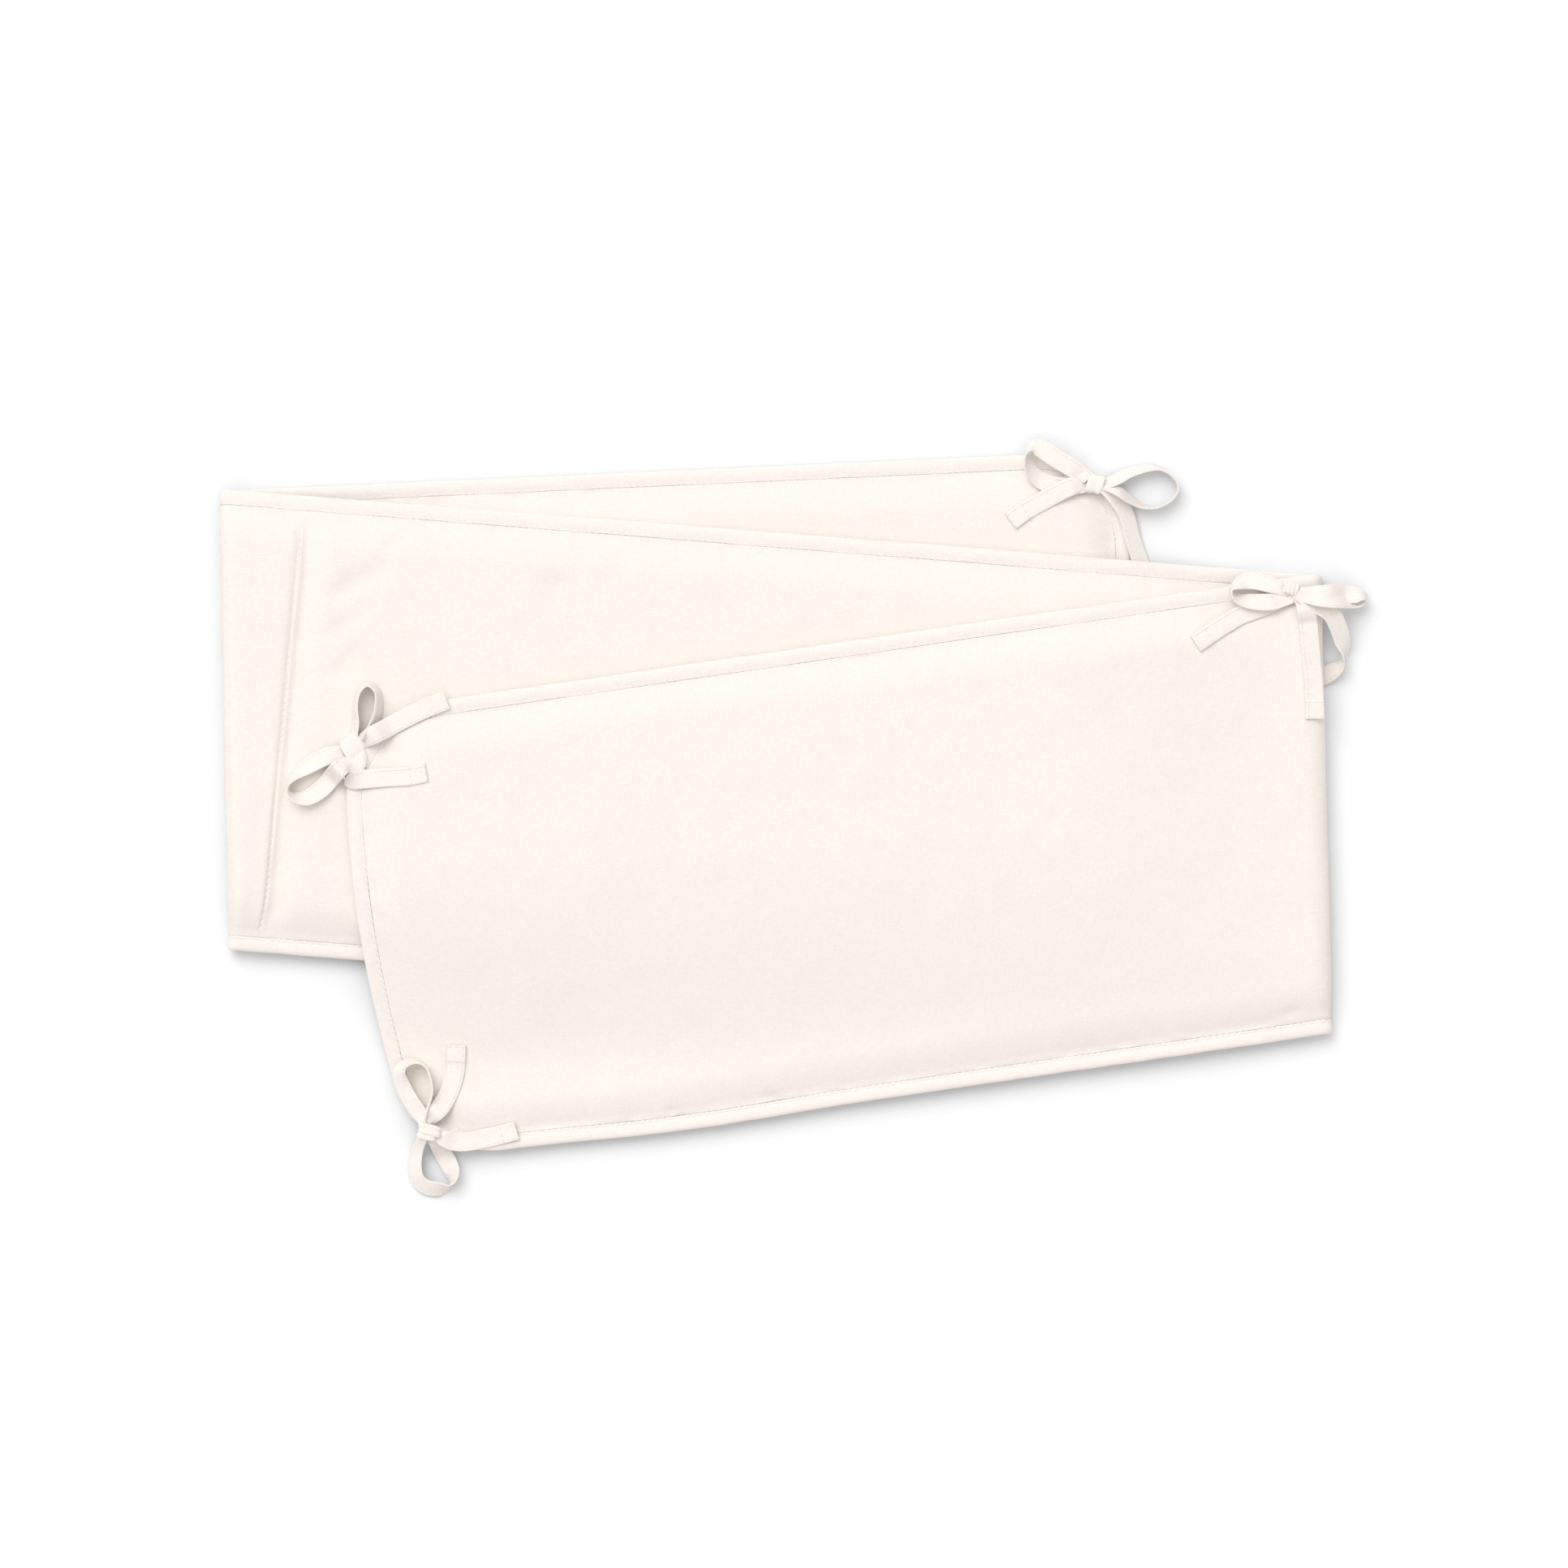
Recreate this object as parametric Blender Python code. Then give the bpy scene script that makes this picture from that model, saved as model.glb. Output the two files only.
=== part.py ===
"""A crib bumper: a thinly padded cotton strip, bound all round and sewn through at the thirds.

It lies folded in three on a flat surface, as it is put away. Each layer is turned a few degrees
from the one below, and tape ties are knotted in bows at its corners and at one fold. All sizes
are in millimetres until a mesh is made. X runs along the strip, +Y to its upper long edge, +Z up.
The origin is on the surface, under the middle of the whole.

The strip is worked out in its own flat coordinates first: s along it from the free end of the
bottom layer, t across it from the upper long edge, d the distance in from the nearest edge. Every
surface point is then laid in its place by the same fold, so the binding follows the pad exactly.
"""

import math

import bmesh
import bpy
from mathutils import Vector
from mathutils.bvhtree import BVHTree

MM = 0.001

# The strip, cut flat.
STRIP_WIDTH = 300.0
CORNER_RADIUS = 60.0
PAD_THICKNESS = 10.0
SEAM_PUFF = 0.35  # share of the padding's height left at a cross seam
SEAM_REACH = 22.0  # how far to each side a cross seam draws the padding in

# The bound edge.
TONGUE_THICKNESS = 2.0
TONGUE_INSET = 1.5
EDGE_RISE_START = 10.5
EDGE_RISE = 25.0
BINDING_WIDTH = 10.0
BINDING_WALL = 1.0
PIECE_GAP = 0.3

# The stack of layers.
LAYER_PITCH = 12.0
DRAPE_INSIDE = 30.0  # where an upper layer begins to come down, inside the edge below it
DRAPE_OUTSIDE = 60.0  # where it has come down a whole layer, outside that edge

# Lines across the strip, seen from above: upper end (x, y), lower end (x, y), outward bow.
LINES = {
    "first_end": ((212.9, 242.5), (227.3, -58.1), 0.0),
    "left_fold": ((-378.7, 216.4), (-372.8, -86.9), 0.0),
    "right_fold": ((347.2, 161.0), (354.7, -141.8), 0.0),
    "last_end": ((-295.6, 68.8), (-247.6, -228.7), 12.8),
}
# Share of the middle layer's length at which each cross seam meets its upper and lower edge.
SEAMS = {"left_seam": (0.0653, 0.0160), "right_seam": (0.975, 0.930)}

# The ties.
TAPE_WIDTH = 12.5
TAPE_THICKNESS = 1.2
TAPE_CLEARANCE = 0.4
TAPE_STEP = 5.0
OPEN_ABOVE = 100.0  # a height over everything
KNOT_CORE = 4.0
KNOT_REACH = 14.0

# Bows: the knot's centre, its turn in degrees, its length, width and height, then its tapes.
# A tape's points are x, y from the knot, its lift over what it lies on, and its lean in degrees:
# 0 lies flat, 90 stands on edge with its outer face to the right. A hanging tape leaves the edge
# of its layer, and its third column is the height of its middle.
BOWS = {
    "bow_back_right": {
        "knot": (197.5, 220.1, -15.0, 13.0, 13.5, 9.0),
        "tapes": {
            "left_loop": (
                (-1.1, 2.1, 5, 0), (-8.5, 6.9, 6, 0), (-23.5, 16.0, 7, 5), (-35.7, 23.5, 7, 20),
                (-42.1, 24.5, 5, 60), (-44.8, 19.2, 3, 95), (-42.1, 10.1, 1, 130),
                (-35.7, 3.2, 0, 155), (-26.1, -1.1, 0, 170), (-15.5, -1.1, 1, 175),
                (-3.7, -0.5, 2, 178),
            ),
            "right_loop": (
                (2.8, -0.5, 2, -45), (13.9, 3.2, 2, -50), (22.9, 7.5, 1, -56), (34.6, 10.7, 0, -65),
                (44.2, 10.1, 0, -80), (52.2, 4.3, 0, -90), (55.4, -2.7, 0, -90),
                (51.2, -10.1, 0, -92), (42.1, -14.9, 0, -95), (32.5, -14.4, 0, -105),
                (22.9, -9.6, 0, -118), (14.4, -4.3, 0, -122), (4.9, -1.1, 1, -125),
            ),
            "left_tail": (
                (-2.1, -0.5, 3, 0), (-9.6, -0.5, 3, 0), (-17.6, -2.4, 2, 0), (-28.8, -8.3, 0, 0),
                (-44.2, -16.5, 0, 0), (-55.2, -24.4, 0, 0),
            ),
        },
        "hanging": (
            (2.8, -0.5, 10.5, 20), (8.0, -2.7, 10.5, 25), (14.9, -9.1, 9.5, 30),
            (21.8, -20.3, 5.0, 28), (27.7, -37.3, 2.6, 14), (32.4, -51.2, 1.4, 4),
            (37.7, -67.2, 1.2, 0),
        ),
    },
    "bow_fold_right": {
        "knot": (326.5, 150.3, -10.0, 11.0, 9.0, 8.0),
        "tapes": {
            "left_loop": (
                (-1.6, 0.0, 2, 20), (-7.5, 1.6, 3, 25), (-19.7, 5.3, 4, 25), (-28.8, 5.9, 4, 30),
                (-35.7, 3.7, 3, 55), (-39.4, -0.5, 1, 90), (-34.6, -5.9, 1, 125),
                (-22.4, -8.0, 1, 150), (-10.7, -7.8, 1, 155), (0.5, -4.8, 1, 160),
            ),
            "right_loop": (
                (2.7, -1.1, 3, -15), (10.7, -3.5, 4, -18), (22.4, -3.2, 4, -20),
                (36.8, -3.2, 4, -22), (47.4, -4.3, 3, -50), (50.6, -6.9, 1, -90),
                (45.8, -9.1, 0, -120), (36.8, -8.5, 0, -140), (22.4, -7.5, 0, -150),
                (4.8, -3.2, 1, -155),
            ),
            "left_tail": (
                (-0.5, -2.1, 1, 0), (-11.2, -8.0, 0, 0), (-24.0, -12.8, 0, 0),
                (-33.6, -16.5, 0, 0), (-45.8, -23.7, 0, 0), (-63.4, -35.2, 0, 0),
            ),
            "right_tail": (
                (2.7, -1.6, 2, 0), (8.0, -8.0, 1, 0), (9.6, -18.1, 0, 0), (10.9, -38.4, 0, 0),
                (13.1, -61.3, 0, 0), (13.6, -84.7, 0, 0),
            ),
        },
        "hanging": (
            (3.8, -2.2, 25.0, 0), (14.5, -8.1, 24.5, -5), (25.7, -15.4, 22.0, -15),
            (32.3, -26.0, 17.5, -22), (36.2, -35.2, 13.5, -38), (36.0, -44.0, 10.0, -60),
            (32.4, -52.2, 7.6, -80), (28.4, -58.4, 7.2, -88),
        ),
    },
    "bow_front_left_top": {
        "knot": (-290.2, 46.9, -28.0, 15.0, 12.0, 9.0),
        "tapes": {
            "upper_loop": (
                (1.6, 3.7, 1, -80), (1.6, 9.1, 1, -85), (3.2, 16.0, 0, -88), (2.7, 26.7, 0, -88),
                (4.8, 37.8, 0, -88), (11.1, 42.6, 0, -90), (17.5, 36.8, 0, -95),
                (17.5, 26.7, 0, -108), (15.4, 17.6, 0, -108), (7.5, 3.9, 0, -100),
            ),
            "left_loop": (
                (-1.1, -1.0, 2, 40), (-6.9, -3.7, 1, 50), (-18.1, -6.4, 0, 53),
                (-29.8, -12.3, 0, 58), (-39.4, -19.7, 0, 80), (-42.1, -26.7, 0, 90),
                (-38.4, -32.0, 0, 110), (-29.8, -33.0, 0, 150), (-21.3, -28.2, 0, 165),
                (-13.9, -20.3, 0, 170), (-6.4, -12.3, 1, 170), (-0.5, -3.8, 2, 165),
            ),
            "upper_tail": (
                (0.1, 0.6, 4, 0), (6.4, 3.7, 4, 0), (27.4, 15.2, 0, 0), (46.4, 24.5, 0, 0),
                (62.4, 31.2, 0, 0),
            ),
            "root": ((4.3, 0.0, 2, 0), (4.8, -7.5, 2, 0), (-0.5, -15.5, 1, 0), (-4.3, -20.8, 1, 0)),
            "lower_tail": (
                (-3.2, -20.3, 1, 0), (7.5, -20.8, 0, 0), (22.1, -19.7, 0, 0), (36.8, -18.7, 0, 0),
                (49.3, -16.5, 0, 0),
            ),
        },
    },
    "bow_front_left_bottom": {
        "knot": (-240.6, -205.2, -10.0, 13.0, 11.0, 9.0),
        "tapes": {
            "upper_loop": (
                (-1.6, 3.2, 3, -20), (-3.7, 8.0, 3, -25), (-10.7, 17.9, 3, -30),
                (-16.5, 28.8, 3, -32), (-19.2, 37.3, 3, -45), (-16.0, 43.7, 2, -65),
                (-8.0, 45.8, 1, -80), (-1.3, 42.1, 0, -90), (1.9, 33.6, 0, -92),
                (2.4, 25.1, 0, -95), (0.0, 16.5, 0, -95), (-2.1, 8.5, 1, -95),
                (-1.6, 2.2, 2, -95),
            ),
            "up_tail": (
                (-1.6, 1.1, 3, 0), (-0.5, 6.4, 3, 0), (6.7, 14.1, 2, 0), (13.3, 25.1, 0, 0),
                (17.1, 36.2, 0, 0), (18.4, 45.8, 0, 0), (18.7, 56.5, 0, 0),
            ),
            "right_tail": (
                (-0.5, 0.5, 2, 0), (4.8, -1.1, 1, 0), (11.7, -5.3, 0, 0), (22.7, -7.5, 0, 0),
                (38.4, -4.8, 0, 0), (49.6, -1.9, 0, 0), (58.1, 0.5, 0, 0),
            ),
            "lower_loop": (
                (-1.1, 0.1, 2, 45), (-4.3, -4.8, 1, 50), (-6.9, -14.1, 0, 52), (-8.0, -24.0, 0, 52),
                (-5.9, -32.5, 0, 60), (0.5, -37.8, 0, 60), (9.1, -38.4, 0, 70),
                (14.9, -34.1, 0, 110), (14.4, -24.0, 0, 150), (9.1, -14.1, 0, 165),
                (3.2, -5.3, 1, 170), (-0.5, 0.4, 2, 170),
            ),
        },
    },
}
# The fourth corner's tie, flat between the layers: two tapes, x, y and height.
HIDDEN_TIE = {
    "along_the_end": (
        (199.0, -39.0, 6.8), (211.0, -18.0, 6.8), (215.0, 12.0, 6.8), (213.0, 62.0, 6.8),
    ),
    "along_the_edge": (
        (210.0, -30.0, 6.8), (189.0, -46.0, 6.8), (160.0, -51.0, 6.8), (105.0, -53.0, 6.8),
    ),
}

COLOURS = {"cotton": (0.86, 0.81, 0.74), "tape": (0.88, 0.83, 0.76)}


def smooth(x):
    """0 below 0, 1 above 1, and a soft S between."""
    x = min(max(x, 0.0), 1.0)
    return x * x * (3.0 - 2.0 * x)


def mix(a, b, share):
    return a + (b - a) * share


BINDING_HALF = TONGUE_THICKNESS / 2 + PIECE_GAP + BINDING_WALL


def edge_rise(d):
    """How full the padding is at a distance in from the edge, 0 at the binding and 1 inside."""
    return math.sin(math.pi / 2 * min(max((d - EDGE_RISE_START) / EDGE_RISE, 0.0), 1.0))


# ---------------------------------------------------------------- the strip laid out in three


def line_point(name, t):
    """The point of one of the lines across the strip that is t from its upper end."""
    top, bottom, bow = LINES[name]
    top, bottom = Vector(top), Vector(bottom)
    along = bottom - top
    share = t / STRIP_WIDTH
    outward = Vector((along.y, -along.x)).normalized()
    return top + along * share + outward * bow * 4.0 * share * (1.0 - share)


def edge_distance(point, start, end):
    """How far a point lies to the left of the line from start to end."""
    along = (Vector(end) - Vector(start)).normalized()
    to_point = point - Vector(start)
    return along.x * to_point.y - along.y * to_point.x


def cover(distance):
    return smooth((distance + DRAPE_OUTSIDE) / (DRAPE_OUTSIDE + DRAPE_INSIDE))


def bottom_layer_cover(point):
    """1 where the bottom layer holds up what lies over it, falling to 0 past its edges."""
    end_top, end_bottom, _ = LINES["first_end"]
    fold_top, fold_bottom, _ = LINES["left_fold"]
    return (
        cover(edge_distance(point, end_top, fold_top))
        * cover(edge_distance(point, fold_bottom, end_bottom))
        * cover(edge_distance(point, end_bottom, end_top))
    )


def middle_layer_cover(point):
    left_top, left_bottom, _ = LINES["left_fold"]
    right_top, right_bottom, _ = LINES["right_fold"]
    return cover(edge_distance(point, right_top, left_top)) * cover(
        edge_distance(point, left_bottom, right_bottom)
    )


def underside(layer, point):
    """The height at which a layer's underside rests, seen from above at this point."""
    height = 0.0
    if layer >= 2:
        height += LAYER_PITCH * bottom_layer_cover(point)
    if layer >= 3:
        height += LAYER_PITCH * middle_layer_cover(point)
    return height


FOLD_LENGTH = math.pi * LAYER_PITCH / 2
LOWER_LAYER = {"left_fold": 1, "right_fold": 2}


def fold_axis(name, t):
    """The line about which the strip turns back, one fold's reach inside the visible edge."""
    top, bottom, _ = LINES[name]
    along = (Vector(bottom) - Vector(top)).normalized()
    inward = Vector((-along.y, along.x))
    if name == "right_fold":
        inward = -inward
    edge = line_point(name, t)
    low = LOWER_LAYER[name]
    radius = (underside(low + 1, edge) - underside(low, edge)) / 2
    rise = edge_rise(min(t, STRIP_WIDTH - t))
    reach = radius + mix(BINDING_HALF, PAD_THICKNESS / 2, rise)
    return edge + inward * reach, -inward


def mean_length(first, last):
    total = 0.0
    for t in (0.0, STRIP_WIDTH):
        total += (last(t) - first(t)).length
    return total / 2


def left_axis(t):
    return fold_axis("left_fold", t)[0]


def right_axis(t):
    return fold_axis("right_fold", t)[0]


def first_end(t):
    return line_point("first_end", t)


def last_end(t):
    return line_point("last_end", t)


# Where each stretch of the strip begins and ends along s.
BOTTOM_END = mean_length(first_end, left_axis)
MIDDLE_START = BOTTOM_END + FOLD_LENGTH
MIDDLE_LENGTH = mean_length(left_axis, right_axis)
MIDDLE_END = MIDDLE_START + MIDDLE_LENGTH
TOP_START = MIDDLE_END + FOLD_LENGTH
STRIP_LENGTH = TOP_START + mean_length(right_axis, last_end)
SEAM_PLACES = {
    name: MIDDLE_START + MIDDLE_LENGTH * (upper + lower) / 2
    for name, (upper, lower) in SEAMS.items()
}


def middle_share(s, t):
    """How far along the middle layer a point lies: the cross seams run a little aslant of it."""
    across = t / STRIP_WIDTH
    stops = [(MIDDLE_START, 0.0)]
    for name, (upper, lower) in SEAMS.items():
        stops.append((SEAM_PLACES[name], mix(upper, lower, across)))
    stops.append((MIDDLE_END, 1.0))
    for (s_a, share_a), (s_b, share_b) in zip(stops, stops[1:]):
        if s <= s_b:
            break
    return mix(share_a, share_b, (s - s_a) / (s_b - s_a))


def fold_point(name, t, turn, low_layer):
    """A point of the half turn that joins one layer to the next, 0 low and 1 high."""
    axis, outward = fold_axis(name, t)
    low = underside(low_layer, axis)
    high = underside(low_layer + 1, axis)
    radius = (high - low) / 2
    angle = math.pi * turn
    place = axis + outward * radius * math.sin(angle)
    height = (low + high) / 2 - radius * math.cos(angle)
    return Vector((place.x, place.y, height + PAD_THICKNESS / 2))


def middle_surface(s, t):
    """The strip's middle surface, folded, as if it had its full thickness everywhere."""
    if s <= BOTTOM_END:
        layer, place = 1, first_end(t).lerp(left_axis(t), s / BOTTOM_END)
    elif s < MIDDLE_START:
        return fold_point("left_fold", t, (s - BOTTOM_END) / FOLD_LENGTH, 1)
    elif s <= MIDDLE_END:
        layer, place = 2, left_axis(t).lerp(right_axis(t), middle_share(s, t))
    elif s < TOP_START:
        return fold_point("right_fold", t, (s - MIDDLE_END) / FOLD_LENGTH, 2)
    else:
        share = (s - TOP_START) / (STRIP_LENGTH - TOP_START)
        layer, place = 3, right_axis(t).lerp(last_end(t), share)
    return Vector((place.x, place.y, underside(layer, place) + PAD_THICKNESS / 2))


def normal(s, t):
    """The unit normal of the middle surface, up on the bottom layer."""
    step = 0.5
    s_a, s_b = max(s - step, 0.0), min(s + step, STRIP_LENGTH)
    t_a, t_b = max(t - step, 0.0), min(t + step, STRIP_WIDTH)
    along = middle_surface(s_b, t) - middle_surface(s_a, t)
    across = middle_surface(s, t_b) - middle_surface(s, t_a)
    return along.cross(across).normalized()


def half_thickness(s, d):
    """Half the pad's thickness: a thin tongue in the binding, a crown, and drawn-in seams."""
    tongue = TONGUE_THICKNESS / 2
    rise = edge_rise(d)
    for place in SEAM_PLACES.values():
        rise *= mix(SEAM_PUFF, 1.0, smooth(abs(s - place) / SEAM_REACH))
    return tongue + (PAD_THICKNESS / 2 - tongue) * rise


def laid(s, t, d, offset):
    """A point at a height off the middle surface, let down so that the underside rests flat."""
    drop = PAD_THICKNESS / 2 - max(BINDING_HALF, half_thickness(s, d))
    point = middle_surface(s, t) + normal(s, t) * offset
    point.z -= drop
    return point


# ---------------------------------------------------------------- meshes of the strip


def even_steps(start, end, longest):
    count = max(1, math.ceil((end - start) / longest))
    return [mix(start, end, k / count) for k in range(count)]


def strip_columns():
    """Places along s between the rounded corners, closer at the folds and cross seams."""
    longest, at_fold = 42.0, 6
    places = even_steps(CORNER_RADIUS, BOTTOM_END, longest)
    places += [mix(BOTTOM_END, MIDDLE_START, k / at_fold) for k in range(at_fold)]
    beside_seam = (-SEAM_REACH, -SEAM_REACH * 0.4, 0.0, SEAM_REACH * 0.4, SEAM_REACH)
    stops = [MIDDLE_START]
    for place in SEAM_PLACES.values():
        stops += [place + offset for offset in beside_seam]
    stops.append(MIDDLE_END)
    for start, end in zip(stops, stops[1:]):
        places += even_steps(start, end, longest)
    places += [mix(MIDDLE_END, TOP_START, k / at_fold) for k in range(at_fold)]
    places += even_steps(TOP_START, STRIP_LENGTH - CORNER_RADIUS, longest)
    return places + [STRIP_LENGTH - CORNER_RADIUS]


COLUMNS = strip_columns()
ROWS = [mix(CORNER_RADIUS, STRIP_WIDTH - CORNER_RADIUS, k / 4) for k in range(5)]
CORNER_STEPS = 6


def corner_arc(s_middle, t_middle, start_angle, d):
    """The points of one rounded corner, at a distance in from the edge, without its two ends."""
    radius = CORNER_RADIUS - d
    points = []
    for k in range(1, CORNER_STEPS):
        angle = math.radians(start_angle + 90.0 * k / CORNER_STEPS)
        points.append((s_middle + radius * math.cos(angle), t_middle + radius * math.sin(angle)))
    return points


def outline(d):
    """The strip's outline at a distance in from its edge, once round, as (s, t) points."""
    near, far = CORNER_RADIUS, STRIP_LENGTH - CORNER_RADIUS
    low, high = CORNER_RADIUS, STRIP_WIDTH - CORNER_RADIUS
    points = [(s, d) for s in COLUMNS]
    points += corner_arc(far, low, -90.0, d)
    points += [(STRIP_LENGTH - d, t) for t in ROWS]
    points += corner_arc(far, high, 0.0, d)
    points += [(s, STRIP_WIDTH - d) for s in reversed(COLUMNS)]
    points += corner_arc(near, high, 90.0, d)
    points += [(d, t) for t in reversed(ROWS)]
    points += corner_arc(near, low, 180.0, d)
    return points


def material(name):
    made = bpy.data.materials.get(name)
    if made is None:
        made = bpy.data.materials.new(name)
        made.use_nodes = True
        shader = made.node_tree.nodes["Principled BSDF"]
        shader.inputs["Base Color"].default_value = (*COLOURS[name], 1.0)
        shader.inputs["Roughness"].default_value = 0.85
        shader.inputs["Metallic"].default_value = 0.0
    return made


def mesh_object(name, bm, finish):
    """A named object of a bmesh drawn in millimetres, with its faces turned out."""
    bmesh.ops.scale(bm, vec=(MM, MM, MM), verts=bm.verts)
    bmesh.ops.recalc_face_normals(bm, faces=bm.faces)
    mesh = bpy.data.meshes.new(name)
    bm.to_mesh(mesh)
    bm.free()
    if sum(p.center.dot(p.normal) * p.area for p in mesh.polygons) < 0:
        mesh.flip_normals()
    mesh.materials.append(material(finish))
    mesh.shade_smooth()
    made = bpy.data.objects.new(name, mesh)
    bpy.context.collection.objects.link(made)
    return made


def join_rings(bm, first, second):
    """Quads between two closed rings of as many points."""
    count = len(first)
    for k in range(count):
        ahead = (k + 1) % count
        bm.faces.new((first[k], first[ahead], second[ahead], second[k]))


def pad_face(bm, side):
    """One face of the pad, from its tongue inwards. Gives back the ring at the tongue's end."""
    insets = (TONGUE_INSET, EDGE_RISE_START, 14.0, 20.0, 29.0, 42.0)
    rings = []
    for d in insets:
        ring = []
        for s, t in outline(d):
            ring.append(bm.verts.new(laid(s, t, d, side * half_thickness(s, d))))
        rings.append(ring)
    for outer, inner in zip(rings, rings[1:]):
        join_rings(bm, outer, inner)

    grid = {}
    for i, s in enumerate(COLUMNS):
        for j, t in enumerate(ROWS):
            d = min(t, STRIP_WIDTH - t, s, STRIP_LENGTH - s)
            grid[i, j] = bm.verts.new(laid(s, t, d, side * half_thickness(s, d)))
    last_i, last_j = len(COLUMNS) - 1, len(ROWS) - 1
    for i in range(last_i):
        for j in range(last_j):
            bm.faces.new((grid[i, j], grid[i + 1, j], grid[i + 1, j + 1], grid[i, j + 1]))
    corner = CORNER_STEPS - 1
    border = [grid[i, 0] for i in range(last_i + 1)]
    border += [grid[last_i, 0]] * corner
    border += [grid[last_i, j] for j in range(last_j + 1)]
    border += [grid[last_i, last_j]] * corner
    border += [grid[i, last_j] for i in range(last_i, -1, -1)]
    border += [grid[0, last_j]] * corner
    border += [grid[0, j] for j in range(last_j, -1, -1)]
    border += [grid[0, 0]] * corner
    ring = rings[-1]
    for k in range(len(ring)):
        ahead = (k + 1) % len(ring)
        corners = [ring[k], ring[ahead], border[ahead], border[k]]
        if border[k] == border[ahead]:
            corners.pop()
        bm.faces.new(corners)
    return rings[0]


def make_pad():
    bm = bmesh.new()
    join_rings(bm, pad_face(bm, 1.0), pad_face(bm, -1.0))
    bmesh.ops.triangulate(bm, faces=bm.faces, quad_method="FIXED")
    return mesh_object("pad", bm, "cotton")


def binding_profile():
    """The binding's cut face: distance in from the edge, and height off the middle surface."""
    inner = TONGUE_THICKNESS / 2 + PIECE_GAP
    outer = BINDING_HALF
    upper = [
        (TONGUE_INSET - PIECE_GAP, inner),
        (BINDING_WIDTH, inner),
        (BINDING_WIDTH, outer),
        (0.9, outer),
        (0.0, outer * 0.45),
    ]
    return upper + [(d, -h) for d, h in reversed(upper)]


def make_binding():
    bm = bmesh.new()
    profile = binding_profile()
    rings = []
    for d, h in profile:
        rings.append([bm.verts.new(laid(s, t, d, h)) for s, t in outline(d)])
    for k in range(len(rings)):
        first, second = rings[k], rings[(k + 1) % len(rings)]
        if k >= len(rings) // 2:  # both sides take the pad's own diagonals, so their gap holds
            first, second = second, first
        join_rings(bm, first, second)
    bmesh.ops.triangulate(bm, faces=bm.faces, quad_method="FIXED")
    return mesh_object("binding", bm, "cotton")


# ---------------------------------------------------------------- ties


class Ground:
    """What a tape lies on: the strip's upward faces, or the surface under them."""

    def __init__(self, objects):
        vertices, faces = [], []
        for thing in objects:
            base = len(vertices)
            vertices += [v.co / MM for v in thing.data.vertices]
            faces += [tuple(base + k for k in p.vertices) for p in thing.data.polygons]
        self.tree = BVHTree.FromPolygons(vertices, faces)

    def height(self, x, y):
        down = Vector((0.0, 0.0, -1.0))
        hit = self.tree.ray_cast(Vector((x, y, OPEN_ABOVE)), down)[0]
        return hit.z if hit else 0.0


def smooth_route(points, step):
    """Points about a step apart on a smooth curve through rows of numbers."""
    rows = [Vector(p[:2]).to_3d() for p in points]
    numbers = [tuple(float(v) for v in p) for p in points]
    ends = [numbers[0], *numbers, numbers[-1]]
    found = []
    for k in range(len(numbers) - 1):
        a, b, c, e = ends[k : k + 4]
        span = (rows[k + 1] - rows[k]).length
        count = max(1, round(span / step))
        for i in range(count):
            u = i / count
            found.append(
                tuple(
                    0.5
                    * (
                        2 * q
                        + (r - p) * u
                        + (2 * p - 5 * q + 4 * r - w) * u * u
                        + (3 * q - p - 3 * r + w) * u**3
                    )
                    for p, q, r, w in zip(a, b, c, e)
                )
            )
    return found + [numbers[-1]]


def across_and_out(route, k, lean):
    """The directions across a tape and out of its face, at one point of its route."""
    before, after = route[max(k - 1, 0)], route[min(k + 1, len(route) - 1)]
    along = Vector((after[0] - before[0], after[1] - before[1], 0.0)).normalized()
    left = Vector((-along.y, along.x, 0.0))
    up = Vector((0.0, 0.0, 1.0))
    angle = math.radians(lean)
    across = left * math.cos(angle) + up * math.sin(angle)
    return across, along.cross(across).normalized()


def resting_height(ground, place, across, out):
    """The lowest height of a tape's middle that clears what is under it."""
    lowest = 0.0
    for share in (-1.0, -0.6, -0.2, 0.2, 0.6, 1.0):
        for face in (-1.0, 1.0):
            offset = across * share * TAPE_WIDTH / 2 + out * face * TAPE_THICKNESS / 2
            under = ground.height(place[0] + offset.x, place[1] + offset.y)
            lowest = max(lowest, under + TAPE_CLEARANCE - offset.z)
    return lowest


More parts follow.
